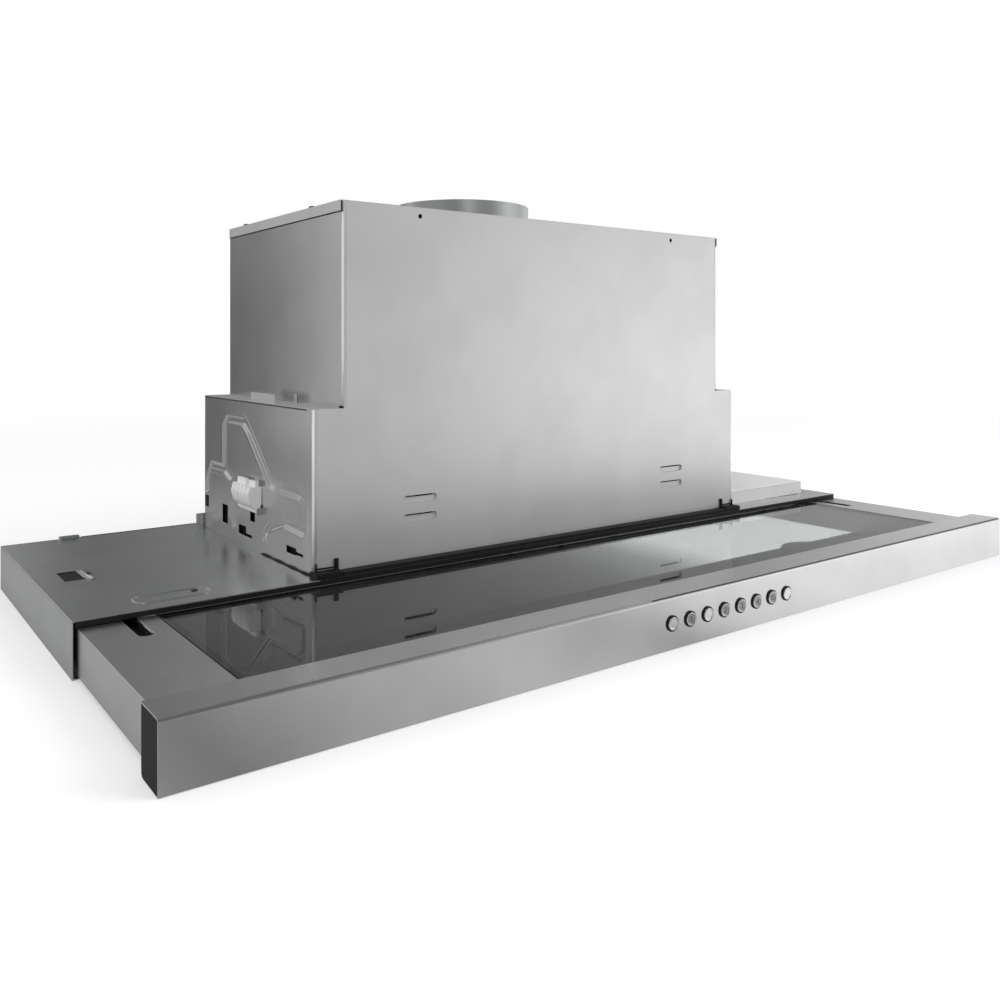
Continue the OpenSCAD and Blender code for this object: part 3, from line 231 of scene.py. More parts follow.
def sheet_material(name, colour, roughness, grain, streak=0.02, depth=0.0005, brushed=0.0, metal=1.0):
    """Sheet metal with a rolled or brushed grain, given as the grain's size in mm along X, Y and Z. The streaks
    change the shine a little and rise by the depth in mm. Brushed metal spreads its shine across the brushing,
    which runs along X."""
    made = bpy.data.materials.new(name)
    made.use_nodes = True
    tree = made.node_tree
    shader = tree.nodes["Principled BSDF"]
    shader.inputs["Metallic"].default_value = metal
    place = add_node(tree, "ShaderNodeTexCoord").outputs["Object"]
    spaced = add_node(tree, "ShaderNodeVectorMath", {0: place, 1: [1 / (g * MM) for g in grain]},
                      operation="MULTIPLY")
    lines = add_node(tree, "ShaderNodeTexNoise", {"Vector": spaced.outputs[0], "Scale": 1.0, "Detail": 3.0})
    smudges = add_node(tree, "ShaderNodeTexNoise", {"Vector": place, "Scale": SMUDGES_PER_METRE, "Detail": 2.0})
    both = add_node(tree, "ShaderNodeMath", {0: lines.outputs["Fac"], 1: smudges.outputs["Fac"]}, operation="ADD")
    rough = add_node(tree, "ShaderNodeMapRange", {"Value": both.outputs[0], "From Min": 0.7, "From Max": 1.3,
                                                  "To Min": roughness - streak, "To Max": roughness + streak})
    light, dark = linear(colour), tuple(c * SMUDGED for c in linear(colour)[:3]) + (1.0,)
    tint = add_node(tree, "ShaderNodeValToRGB", {"Fac": smudges.outputs["Fac"]}, stops=[(0.35, dark), (0.6, light)])
    tree.links.new(tint.outputs["Color"], shader.inputs["Base Color"])
    tree.links.new(rough.outputs[0], shader.inputs["Roughness"])
    bump = add_node(tree, "ShaderNodeBump", {"Height": lines.outputs["Fac"], "Distance": depth * MM,
                                             "Strength": 1.0})
    tree.links.new(bump.outputs[0], shader.inputs["Normal"])
    if brushed:
        shader.inputs["Anisotropic"].default_value = brushed
        around = add_node(tree, "ShaderNodeTangent", direction_type="RADIAL", axis="X")
        tree.links.new(around.outputs[0], shader.inputs["Tangent"])
    return made


def moulded(name, colour, roughness, texture=1.2, depth=0.01, metal=0.0):
    """Moulded or painted stuff with a fine texture of the given size and depth in mm."""
    made = bpy.data.materials.new(name)
    made.use_nodes = True
    tree = made.node_tree
    shader = tree.nodes["Principled BSDF"]
    shader.inputs["Metallic"].default_value = metal
    place = add_node(tree, "ShaderNodeTexCoord").outputs["Object"]
    pits = add_node(tree, "ShaderNodeTexNoise", {"Vector": place, "Scale": 1 / (texture * MM), "Detail": 3.0})
    clouds = add_node(tree, "ShaderNodeTexNoise", {"Vector": place, "Scale": CLOUDS_PER_METRE, "Detail": 2.0})
    light, dark = linear(colour), tuple(c * CLOUDED for c in linear(colour)[:3]) + (1.0,)
    tint = add_node(tree, "ShaderNodeValToRGB", {"Fac": clouds.outputs["Fac"]}, stops=[(0.35, dark), (0.65, light)])
    tree.links.new(tint.outputs["Color"], shader.inputs["Base Color"])
    rough = add_node(tree, "ShaderNodeMapRange", {"Value": pits.outputs["Fac"], "From Min": 0.3, "From Max": 0.7,
                                                  "To Min": roughness - GLOSS_SWING,
                                                  "To Max": roughness + GLOSS_SWING})
    tree.links.new(rough.outputs[0], shader.inputs["Roughness"])
    bump = add_node(tree, "ShaderNodeBump", {"Height": pits.outputs["Fac"], "Distance": depth * MM,
                                             "Strength": 1.0})
    tree.links.new(bump.outputs[0], shader.inputs["Normal"])
    return made


def dress(material, *names):
    """Gives CAD nodes a material."""
    for name in names:
        mesh = nodes[name].data
        mesh.materials.clear()
        mesh.materials.append(material)


# Points closer than the first, in mm, are one; faces flatter than the second, in degrees, are joined; and edges
# sharper than the third are rounded
WELD_REACH, FLAT_WITHIN, SHARP_OVER = 0.02, 0.5, 40


def soften(width, *names, segments=2):
    """Rounds the sharp edges of CAD nodes by a small radius in mm."""
    for name in names:
        node = nodes[name]
        weld = node.modifiers.new("weld", "WELD")
        weld.merge_threshold = WELD_REACH * MM
        flat = node.modifiers.new("flat", "DECIMATE")
        flat.decimate_type = "DISSOLVE"
        flat.angle_limit = math.radians(FLAT_WITHIN)
        edge = node.modifiers.new("edge", "BEVEL")
        edge.width = width * MM
        edge.segments = segments
        edge.limit_method = "ANGLE"
        edge.angle_limit = math.radians(SHARP_OVER)


def add_piece(name, points, faces, material, slot, body="root", smooth=True):
    """A piece from points in millimetres and faces, in a material. It rides on a body. The slot is not used."""
    mesh = bpy.data.meshes.new(name)
    mesh.from_pydata([[c * MM for c in p] for p in points], [], faces)
    mesh.update()
    mesh.materials.append(material)
    if smooth:
        mesh.shade_smooth()
    piece = bpy.data.objects.new(name, mesh)
    SCENE.collection.objects.link(piece)
    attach(piece, body)
    return piece


def swept(path, radius, closed=False, sides=8):
    """Points and faces of a round bead along a path."""
    path = [Vector(p) for p in path]
    count = len(path)
    points, faces = [], []
    for i, at in enumerate(path):
        before = path[i - 1] if i or closed else path[i]
        after = path[(i + 1) % count] if i < count - 1 or closed else path[i]
        run = (after - before).normalized()
        up = Vector((0, 0, 1)) if abs(run.z) < 0.9 else Vector((0, 1, 0))
        side = run.cross(up).normalized()
        up = side.cross(run)
        for k in range(sides):
            turn = 2 * math.pi * k / sides
            points.append(at + radius * (math.cos(turn) * side + math.sin(turn) * up))
    for i in range(count if closed else count - 1):
        here, there = i * sides, (i + 1) % count * sides
        faces += [(here + k, here + (k + 1) % sides, there + (k + 1) % sides, there + k) for k in range(sides)]
    if not closed:
        faces += [tuple(range(sides))[::-1], tuple(range(len(points) - sides, len(points)))]
    return points, faces


def joined(*shapes):
    """Several shapes' points and faces as one."""
    points, faces = [], []
    for more_points, more_faces in shapes:
        faces += [tuple(k + len(points) for k in face) for face in more_faces]
        points += list(more_points)
    return points, faces


def rounded(x0, x1, y0, y1, corner, z, steps=6):
    """A rounded rectangle's outline at a height."""
    outline = []
    for cx, cy, start in ((x1 - corner, y1 - corner, 0), (x0 + corner, y1 - corner, 90),
                          (x0 + corner, y0 + corner, 180), (x1 - corner, y0 + corner, 270)):
        for k in range(steps + 1):
            turn = math.radians(start + 90 * k / steps)
            outline.append((cx + corner * math.cos(turn), cy + corner * math.sin(turn), z))
    return outline


def slab(outline, rise, edge=0.3):
    """A flat plate with a softened upper edge on an outline, rising along Z."""
    count = len(outline)
    middle = [sum(p[k] for p in outline) / count for k in range(3)]
    reach = max(abs(p[0] - middle[0]) + abs(p[1] - middle[1]) for p in outline)
    inner = 1 - edge / reach
    rings = [outline, [(x, y, z + rise - edge) for x, y, z in outline],
             [(middle[0] + (x - middle[0]) * inner, middle[1] + (y - middle[1]) * inner, z + rise)
              for x, y, z in outline]]
    points = [p for ring in rings for p in ring]
    faces = [(r * count + k, r * count + (k + 1) % count, (r + 1) * count + (k + 1) % count, (r + 1) * count + k)
             for r in range(2) for k in range(count)]
    return points, faces + [tuple(range(2 * count, 3 * count)), tuple(range(count))[::-1]]


def mirrored_shape(shape):
    """A shape with its twin on the other side of the hood."""
    points, faces = shape
    twin = [(-p[0], p[1], p[2]) for p in points], [face[::-1] for face in faces]
    return joined(shape, twin)


# Cold-rolled and left bare: a soft mirror with a grain across the tray. The real grain is too fine to show, so it is
# drawn 2.5 mm wide.
tray_steel = sheet_material("cold_rolled_stainless_sheet", "d4d6d6", 0.26, (60, 2.5, 60), 0.012, 0.0004)
dress(tray_steel, "tray_top", "tray_sides", "tray_rear", "filter_rail")
soften(0.35, "tray_top", "tray_sides", "tray_rear")
# Extruded rubber: a dull black, whose pits 0.6 mm across spread the shine
# The same black also paints shade in the gaps and shadow lines at the tray's front edge, shoulders, lid, bar and
# slots
rubber_and_shade_black = moulded("black_epdm_rubber_and_painted_shade", "121212", 0.6, 0.6, 0.02)
TRAY_Z = 40.0
TRAY_FRONT, TRAY_REAR = -44.6, 243.4

# The bare place of the label: a pressed outline with a rubber plug in it. Each place below is given in mm as X from,
# X to, Y from and Y to.
LABEL_PLACE, LABEL_CORNER, LABEL_BEAD = (-399, -343, -28, -8), 7, 0.65
PLUG_PLACE, PLUG_R, PLUG_RISE = (-355.6, -350.4, -17.6, -12.4), 2.6, 0.4
label = swept(rounded(*LABEL_PLACE, LABEL_CORNER, TRAY_Z), LABEL_BEAD, closed=True)
add_piece("label_outline", *label, tray_steel, "tray_steel")
plug = slab(rounded(*PLUG_PLACE, PLUG_R, TRAY_Z), PLUG_RISE)
add_piece("label_plug", *plug, rubber_and_shade_black, "seal_rubber")

# Folded tabs beside the cabinet clamps' windows, each with a rubber dimple
TAB_PLACE, TAB_RISE, TAB_CORNER = (-409.4, -403.6, 66, 102), 0.9, 1.4
DIMPLE_PLACE, DIMPLE_SINK, DIMPLE_RISE = (-408, -405, 80, 88), 0.1, 0.25
tabs = mirrored_shape(slab(rounded(*TAB_PLACE, TAB_CORNER, TRAY_Z), TAB_RISE))
add_piece("fixing_tabs", *tabs, tray_steel, "tray_steel")
dimple = rounded(*DIMPLE_PLACE, TAB_CORNER, TRAY_Z + TAB_RISE - DIMPLE_SINK)
add_piece("tab_dimples", *mirrored_shape(slab(dimple, DIMPLE_RISE, edge=0.1)), rubber_and_shade_black, "seal_rubber")

# Sealant in the rear fold
REAR_SEAM_STOPS, REAR_SEAM_IN, REAR_SEAM_SINK, REAR_SEAM_R = (-376, -320, -264), 0.7, 0.1, 0.45
rear_seam = swept([(x, TRAY_REAR - REAR_SEAM_IN, TRAY_Z - REAR_SEAM_SINK) for x in REAR_SEAM_STOPS], REAR_SEAM_R)
add_piece("rear_seam_sealant", *mirrored_shape(rear_seam), rubber_and_shade_black, "seal_rubber")

# Painted shade: a black strip in the shaded gap under the front edge, lower beside the body's left than in front of
# the
# body and at its right: X from, X to and rise of its two lengths
STRIP_LENGTHS = ((-262, 445, 4.1), (-445, -262, 3.3))
STRIP_THICK, STRIP_CORNER, STRIP_Z = 0.8, 0.3, 35.8
front_edge_shade = joined(*[slab(rounded(x0, x1, TRAY_FRONT - STRIP_THICK, TRAY_FRONT, STRIP_CORNER, STRIP_Z), rise,
                            edge=0.2) for x0, x1, rise in STRIP_LENGTHS])
add_piece("tray_edge_shade_strip", *front_edge_shade, rubber_and_shade_black, "seal_rubber", smooth=False)

# The cabinet clamps' captive nuts in their windows, and the hooks with two rolled ends on the rear fold
NUT_PLACE, NUT_CORNER, NUT_Z, NUT_RISE = (-429, -409, 67, 108), 2, 36.6, 2.4
HOOK_PLACE, HOOK_CORNER, HOOK_RISE = (-397, -379, 236, 243), 1.5, 2.6
ROLL_ENDS, ROLL_Y, ROLL_Z, ROLL_R = ((-393, -391), (-386, -383)), 235.9, 41.2, 0.7
clip_nuts = mirrored_shape(slab(rounded(*NUT_PLACE, NUT_CORNER, NUT_Z), NUT_RISE))
add_piece("cabinet_clip_nuts", *clip_nuts, rubber_and_shade_black, "seal_rubber", smooth=False)
rolls = [swept([(x, ROLL_Y, ROLL_Z) for x in ends], ROLL_R) for ends in ROLL_ENDS]
rear_hooks = mirrored_shape(joined(slab(rounded(*HOOK_PLACE, HOOK_CORNER, TRAY_Z), HOOK_RISE), *rolls))
add_piece("rear_hooks", *rear_hooks, tray_steel, "tray_steel", smooth=False)

# Body
# Satin stainless plates, screwed and welded into a tall box. The lower sides are pressed with stiffening beads and
# have windows cut in them, behind which black mats are painted shade for the dark inside of the box.

# Satin finish: pale and even, partly matt, with an upright grain that only just shows. Its metal share is lowered so
# that the front, lid and shoulders take more of the room's even light and look lighter than the side plates: painted
# light. The real grain is too fine to show, so it is drawn 1.5 mm wide.
body_steel = sheet_material("satin_stainless_sheet", "dcdcdc", 0.4, (1.5, 1.5, 60), 0.008, 0.0002, metal=0.66)
dress(body_steel, "front_panel", "top_cover", "shoulders")
# Rolled finish: a smoother mirror, in which the beads' walls catch light and dark. It is almost all metal, so the
# side plates take little of the room's even light and look darker than the front: painted shade. Its level grain is
# drawn
# 1.5 mm wide for the same reason.
side_steel = sheet_material("rolled_stainless_side_sheet", "dadada", 0.26, (40, 40, 1.5), 0.004, 0.00002, metal=0.94)
dress(side_steel, "upper_sides")
soften(0.8, "front_panel", "upper_sides")
soften(0.4, "top_cover", "rear_panel", "shoulders")

# Front and depth of the body, front and rear edges of its lower side plates, their outer faces, and the height of the
# shoulders above the tray, in mm
BODY_FRONT, BODY_DEPTH = -33.2, 254.0
PLATE_Y0, PLATE_Y1 = -30.2, 217.8
PLATE_X = 262.0
SHOULDER_RISE = 135.4
# The beads' lines and the windows' opposite corners, as shares of the body's depth and of the shoulders' height
BEADS = [[(0.778, 0.502), (0.778, 0.79), (0.743, 0.853), (0.585, 0.853), (0.538, 0.798), (0.341, 0.48),
          (0.309, 0.469), (0.105, 0.465), (0.069, 0.421), (0.067, 0.295)],
         [(0.96, 0.3), (0.955, 0.377), (0.912, 0.487), (0.778, 0.487), (0.711, 0.443)],
         [(0.392, 0.118), (0.341, 0.199), (0.235, 0.258), (0.077, 0.244)],
         [(0.697, 0.266), (0.676, 0.126)]]
WINDOWS = [((0.739, 0.096), (0.798, 0.229)), ((0.557, 0.066), (0.632, 0.133)), ((0.502, 0.066), (0.561, 0.089)),
           ((0.475, 0.185), (0.522, 0.251)), ((0.128, 0.081), (0.207, 0.126)), ((0.077, 0.089), (0.132, 0.107)),
           ((0.945, 0.162), (1.0, 0.251))]
# Half a bead's width, its depth, and the share of the half width over which its wall slopes; then the rise of the lip
# beside it, how far outside the bead its crest lies, and its half width
BEAD_HALF, BEAD_DEPTH, WALL_SHARE = 4.6, 1.6, 0.8
LIP_RISE, LIP_OUT, LIP_HALF = 0.2, 0.7, 1.3
# A small dome near the foot: its place along Y and Z, radius and rise
DOME_AT, DOME_R, DOME_RISE = (64.5, 55.9), 4.6, 1.5
GRID_STEP, SHEET_THICK = 1.0, 1.0


def on_side(share):
    """A point of the side plate, from its shares of the body's depth and of the shoulder's height."""
    return BODY_FRONT + share[0] * BODY_DEPTH, TRAY_Z + share[1] * SHOULDER_RISE


def pressed_side(sign):
    """The grid of a lower side plate. Its beads are pressed inward, with rounded lips, and its windows left out."""
    windows = [(on_side(low), on_side(high)) for low, high in WINDOWS]
    ys = set(np.arange(PLATE_Y0, PLATE_Y1, GRID_STEP).round(3)) | {PLATE_Y1}
    zs = set(np.arange(TRAY_Z, TRAY_Z + SHOULDER_RISE, GRID_STEP).round(3)) | {TRAY_Z + SHOULDER_RISE}
    for low, high in windows:
        ys |= {round(min(v, PLATE_Y1), 3) for v in (low[0], high[0])}
        zs |= {round(v, 3) for v in (low[1], high[1])}
    ys, zs = np.array(sorted(ys)), np.array(sorted(zs))
    y, z = np.meshgrid(ys, zs, indexing="ij")
    near = np.full(y.shape, np.inf)
    for bead in BEADS:
        stops = [np.array(on_side(p)) for p in bead]
        for a, b in zip(stops, stops[1:]):
            run = b - a
            share = (((y - a[0]) * run[0] + (z - a[1]) * run[1]) / run.dot(run)).clip(0, 1)
            near = np.minimum(near, np.hypot(y - a[0] - share * run[0], z - a[1] - share * run[1]))
    wall = ((BEAD_HALF - near) / (WALL_SHARE * BEAD_HALF)).clip(0, 1)
    out = -BEAD_DEPTH * wall * wall * (3 - 2 * wall)
    out += LIP_RISE * np.exp(-((near - BEAD_HALF - LIP_OUT) / LIP_HALF) ** 2)
    from_dome = np.hypot(y - DOME_AT[0], z - DOME_AT[1])
    out += DOME_RISE * (0.5 + 0.5 * np.cos(np.pi * (from_dome / DOME_R).clip(0, 1)))
    x = sign * (PLATE_X + out)
    points = [(float(px), float(py), float(pz)) for px, py, pz in zip(x.ravel(), y.ravel(), z.ravel())]
    rows = len(zs)
    faces = []
    for i in range(len(ys) - 1):
        for k in range(rows - 1):
            cy, cz = (ys[i] + ys[i + 1]) / 2, (zs[k] + zs[k + 1]) / 2
            if any(low[0] < cy < high[0] and low[1] < cz < high[1] for low, high in windows):
                continue
            face = (i * rows + k, i * rows + k + 1, (i + 1) * rows + k + 1, (i + 1) * rows + k)
            faces.append(face if sign < 0 else face[::-1])
    return points, faces


for name, sign in (("left", -1), ("right", 1)):
    side = add_piece(f"{name}_pressed_side", *pressed_side(sign), side_steel, "body_steel")
    thick = side.modifiers.new("sheet", "SOLIDIFY")
    thick.thickness = SHEET_THICK * MM
    thick.offset = -1.0
    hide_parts(f"{name}_lower_side")

# Painted shade: a dead black mat, pitted 2 mm across, behind the windows, in which a window shows no depth
window_shade_black = moulded("black_painted_window_shade", "0c0c0c", 0.95, 2.0, 0.4)
# Y from, Y to, Z from and Z to of a mat, its outer face and thickness, the share of the thickness that is left at its
# rim, and how high and how fast its face swells up and down along Y and Z
MAT_PLACE, MAT_OUT, MAT_THICK, MAT_RIM = (-27.5, 215.5, 42.0, 166.0), 258.6, 3.0, 0.5
MAT_STEP = 8.0
SWELL, SWELL_RUN = 0.35, (11, 9)


def stops_between(start, end, step):
    """Even places from start to end, about a step apart."""
    count = round((end - start) / step)
    return [start + (end - start) * k / count for k in range(count + 1)]


def shade_mat_shape(y0, y1, z0, z1, x0, rise):
    """A mat with rounded edges that stands on the plane X = x0 and rises along X."""
    across, up = stops_between(y0, y1, MAT_STEP), stops_between(z0, z1, MAT_STEP)
    points, faces = [], []
    for layer in (0, 1):
        for i, y in enumerate(across):
            for k, z in enumerate(up):
                edge = i in (0, len(across) - 1) or k in (0, len(up) - 1)
                swell = SWELL * math.sin(y / SWELL_RUN[0]) * math.sin(z / SWELL_RUN[1])
                points.append((x0 + layer * (rise * MAT_RIM if edge else rise + swell), y, z))
    rows, half = len(up), len(across) * len(up)
    for i in range(len(across) - 1):
        for k in range(rows - 1):
            a, b, c, d = i * rows + k, i * rows + k + 1, (i + 1) * rows + k + 1, (i + 1) * rows + k
            faces += [(a, b, c, d), (a + half, d + half, c + half, b + half)]
    rim = ([(i, 0) for i in range(len(across))] + [(len(across) - 1, k) for k in range(1, rows)]
           + [(i, rows - 1) for i in range(len(across) - 2, -1, -1)] + [(0, k) for k in range(rows - 2, 0, -1)])
    for (i, k), (j, m) in zip(rim, rim[1:] + rim[:1]):
        a, b = i * rows + k, j * rows + m
        faces.append((a, b, b + half, a + half))
    return points, faces


window_shades = mirrored_shape(shade_mat_shape(*MAT_PLACE, -MAT_OUT + MAT_THICK, -MAT_THICK))
add_piece("window_shade_mats", *window_shades, window_shade_black, "seal_rubber")


def add_black_bead(name, radius, path):
    """A black bead along a path in mm on the left side of the body, with its twin on the right."""
    add_piece(name, *mirrored_shape(swept(path, radius)), rubber_and_shade_black, "seal_rubber")


# Sealant at the foot, laid by hand so that it runs in small waves. Under the shoulders a black bead is painted shade
# along the shadow line, and black dots are painted shade in the notches beside them.
SEAM_RISE, SEAM_WAVE, SEAM_RUN = 0.35, 0.35, 4.2
add_black_bead("foot_sealant", 0.75, [(-262.9, y, TRAY_Z + SEAM_RISE + SEAM_WAVE * math.sin(y / SEAM_RUN))
                                for y in range(-32, 72, 2)])
add_black_bead("shoulder_shade_line", 0.5, [(-PLATE_X, y, 174.3) for y in (-20, 60, 140, 217)])
add_black_bead("notch_shade_dots", 1.1, [(-235.4, -32.4, 176.2), (-235.4, -30.4, 176.2), (-235.6, -28, 176.4)])

# Painted highlight: the front plate's folded edges carry a white, half matt bead that stands for the bright line they
# mirror, so it looks white from all sides. The lower and the upper fold are given as place along X, radius and stops
# along Z.
painted_highlight_steel = sheet_material("white_painted_fold_highlight", "ffffff", 0.3, (40, 40, 1.5), 0.02, 0.0001, metal=0.35)
FOLDS = ((-261.0, 1.4, (43.5, 80, 120, 175)), (-234.3, 1.2, (177.5, 230, 280, 338)))
FOLD_Y, ROUND_SIDES = -31.2, 16
folds = joined(*[swept([(x, FOLD_Y, z) for z in stops], radius, sides=ROUND_SIDES) for x, radius, stops in FOLDS])
add_piece("corner_folds", *mirrored_shape(folds), painted_highlight_steel, "body_steel")

# Level ribs rolled into the rear plate: how deep their middle lies in it, their radius, stops along X, and heights
REAR_FACE = 220.8
RIB_SINK, RIB_R = 2.6, 4.0
RIB_STOPS, RIB_HEIGHTS = (-170, -60, 60, 170), (110, 140, 240, 270, 300)
ribs = joined(*[swept([(x, REAR_FACE - RIB_SINK, z) for x in RIB_STOPS], RIB_R, sides=ROUND_SIDES)
                for z in RIB_HEIGHTS])
add_piece("rear_ribs", *ribs, body_steel, "rail_steel")

# Painted shade: a black bead in the shadow line under the lid's flange along the upper sides, and in the shaded gap
# down its front corners
add_black_bead("lid_flange_shade_line", 0.36, [(-235.9, y, 338.7) for y in (-30, 50, 130, 216)])
add_black_bead("lid_corner_shade_lines", 0.5, [(-236.3, -32.1, 347.2), (-236.3, -32.1, 342), (-236.1, -32.1, 338.6),
                                    (-235.9, -31.2, 338.2)])

# Zinc plate on what is behind, inside and below: a cool grey mirror, uneven over patches of 12 mm
plated_steel = sheet_material("zinc_plated_steel", "d2d4d6", 0.3, (12, 12, 12), 0.04, 0.001)
dress(plated_steel, "slide_rails", "slide_members", "fan_rails", "clamp_brackets", "motor_bracket", "crossbar",
      "rear_panel", "flap_pin", "motor_bearings")
soften(0.3, "slide_rails", "slide_members", "crossbar", "filter_rail")

# Screws
# Pan-head screws with a cross recess, driven through the lid and the rear plate into the flanges below. They are
# blackened steel, dark with a small glint on the dome.
screw_steel = sheet_material("blackened_screw_steel", "54565a", 0.34, (3, 3, 3), 0.05, 0.002)
HEAD_R, HEAD_RISE, DOME_POWER = 3.5, 1.6, 2.6
# The recess: its floor's share of the rise, and half its width and its reach as shares of the radius
RECESS_FLOOR, RECESS_HALF, RECESS_REACH = 0.35, 0.16, 0.6
HEAD_RINGS, HEAD_SECTORS = 9, 48


def screw_head(centre, normal, rise=HEAD_RISE):
    """A domed head with a cross recess, seen along its normal."""
    normal = Vector(normal)
    side = normal.orthogonal().normalized()
    other = normal.cross(side)
    points, faces = [Vector(centre) + normal * rise * RECESS_FLOOR], []
    for ring in range(1, HEAD_RINGS + 1):
        r = HEAD_R * ring / HEAD_RINGS
        for k in range(HEAD_SECTORS):
            turn = 2 * math.pi * k / HEAD_SECTORS
            u, v = r * math.cos(turn), r * math.sin(turn)
            height = rise * math.sqrt(max(0.0, 1 - (r / HEAD_R) ** DOME_POWER))
            if min(abs(u), abs(v)) < RECESS_HALF * HEAD_R and max(abs(u), abs(v)) < RECESS_REACH * HEAD_R:
                height = rise * RECESS_FLOOR
            points.append(Vector(centre) + side * u + other * v + normal * height)
    faces += [(0, 1 + k, 1 + (k + 1) % HEAD_SECTORS) for k in range(HEAD_SECTORS)]
    for ring in range(HEAD_RINGS - 1):
        a, b = 1 + ring * HEAD_SECTORS, 1 + (ring + 1) * HEAD_SECTORS
        faces += [(a + k, b + k, b + (k + 1) % HEAD_SECTORS, a + (k + 1) % HEAD_SECTORS)
                  for k in range(HEAD_SECTORS)]
    return points, faces


# The lid's screws stand higher than those of the rear plate
LID_TOP, LID_SCREW_RISE = 348.0, 2.3
LID_SCREWS = [(x, y) for x in (-232.3, 232.3) for y in (30.4, 180.4)]
REAR_SCREWS = [(x * side, z) for side in (-1, 1)
               for x, z in ((254, 62), (254, 158), (228, 196), (228, 262), (228, 330))]
lid_heads = [screw_head((x, y, LID_TOP), (0, 0, 1), LID_SCREW_RISE) for x, y in LID_SCREWS]
lid_screws = add_piece("lid_screw_heads", *joined(*lid_heads), screw_steel, "screw_steel", smooth=False)
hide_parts("cover_screws")
rear_heads = [screw_head((x, REAR_FACE, z), (0, 1, 0)) for x, z in REAR_SCREWS]
add_piece("rear_screw_heads", *joined(*rear_heads), screw_steel, "screw_steel", smooth=False)

# Duct collar
# A ring of galvanised steel sheet, rolled round and pressed into the lid, that the duct is pushed over. Two light
# non-return flaps of the same sheet hang in it on one pin.

# Zinc makes it a cool and slightly dull mirror. Its level rolling lines are too fine to show, so they are drawn
# 1.2 mm wide.
collar_steel = sheet_material("galvanised_steel", "cacccd", 0.34, (30, 30, 1.2), 0.03, 0.0006, metal=0.85)
dress(collar_steel, "duct_collar", "flap_front", "flap_back")

# Gaskets and corner clips
# Extruded rubber under the front plate, beside the glass and under the fan. The clips at the body's front feet are
# moulded black ABS and snap over them with two prongs each.
dress(rubber_and_shade_black, "front_seal", "fan_mounts", "glass_seal")

# Grains 0.8 mm across give the ABS a broad dull shine
black_abs = moulded("moulded_black_abs", "101010", 0.6, 0.8, 0.015)
dress(black_abs, "corner_clips", "end_caps", "left_latch", "right_latch")
soften(0.8, "corner_clips", "end_caps")
UPRIGHT_PRONG, UPRIGHT_R = [(-260.4, -34.4, 44), (-260.4, -34.5, 50.6)], 0.95
LEVEL_PRONG, LEVEL_R = [(-260.4, -34.4, 46.2), (-243, -34.4, 46.0)], 0.7
prongs = joined(swept(UPRIGHT_PRONG, UPRIGHT_R), swept(LEVEL_PRONG, LEVEL_R))
add_piece("clip_prongs", *mirrored_shape(prongs), black_abs, "black_plastic")

# Fan
# A double-inlet wheel in a scroll of two halves, both moulded, with an outlet duct up to the collar. A canned motor
# on a plated bracket drives it, and two plated rails on rubber mounts carry it all.

# Polypropylene has a waxy shine and powder coat a dull pebbled one. The cores' laminations are drawn 0.6 mm thick.
polypropylene = moulded("moulded_grey_polypropylene", "3a3c3e", 0.5, 1.5, 0.02)
dress(polypropylene, "scroll_left", "scroll_right", "outlet_duct", "impeller")
powder_coat = moulded("black_powder_coat", "262626", 0.55, 0.8, 0.03)
dress(powder_coat, "motor_can")
core_steel = sheet_material("laminated_core_steel", "8a8c8e", 0.45, (0.6, 20, 20), 0.08, 0.01)
dress(core_steel, "motor_stator", "motor_rotor")

# Side clamps
# Half-barrels with ribs, moulded from white ABS. They turn on the brackets at the body's sides and press against the
# cabinet's walls when they are turned out.

# White ABS has a soft shine, with grains 0.9 mm across that hardly show
white_abs = moulded("moulded_white_abs", "f3f4f2", 0.42, 0.9, 0.008)
dress(white_abs, "left_clamp", "right_clamp", "lamp_housings")
soften(0.5, "left_clamp", "right_clamp")

# Control box
# A box moulded from white ABS with a lid, fixed on the tray beside the body. It holds the power board, whose solder
# mask is a glossy green.
dress(white_abs, "control_box", "control_cover")
soften(1.6, "control_box", "control_cover", segments=3)
circuit_board = moulded("green_circuit_board", "1c5a30", 0.4, 3.0, 0.02)
dress(circuit_board, "power_board", "switch_board")

# Pull-out
# The front bar is folded stainless sheet, brushed along its length. Two arms of rolled sheet carry it on the slides,
# and between them lie the tinted glass pane, the crossbar and, below, the plated lamp panel.

# Brushing draws what the bar mirrors out into upright bands. Its lines are too fine to show, so they are drawn
# 0.6 mm wide.
bar_steel = sheet_material("brushed_stainless_sheet", "dedede", 0.25, (60, 0.6, 0.6), 0.012, 0.00025, brushed=0.7)
dress(bar_steel, "front_bar")
# The arms are a plain soft mirror, with rolling lines along them drawn 0.8 mm wide for the same reason
arm_steel = sheet_material("rolled_stainless_sheet", "e0e0e0", 0.27, (0.8, 50, 0.8), 0.004, 0.00002)
dress(arm_steel, "side_arms")
dress(plated_steel, "lamp_panel")
soften(0.35, "side_arms", "lamp_panel")

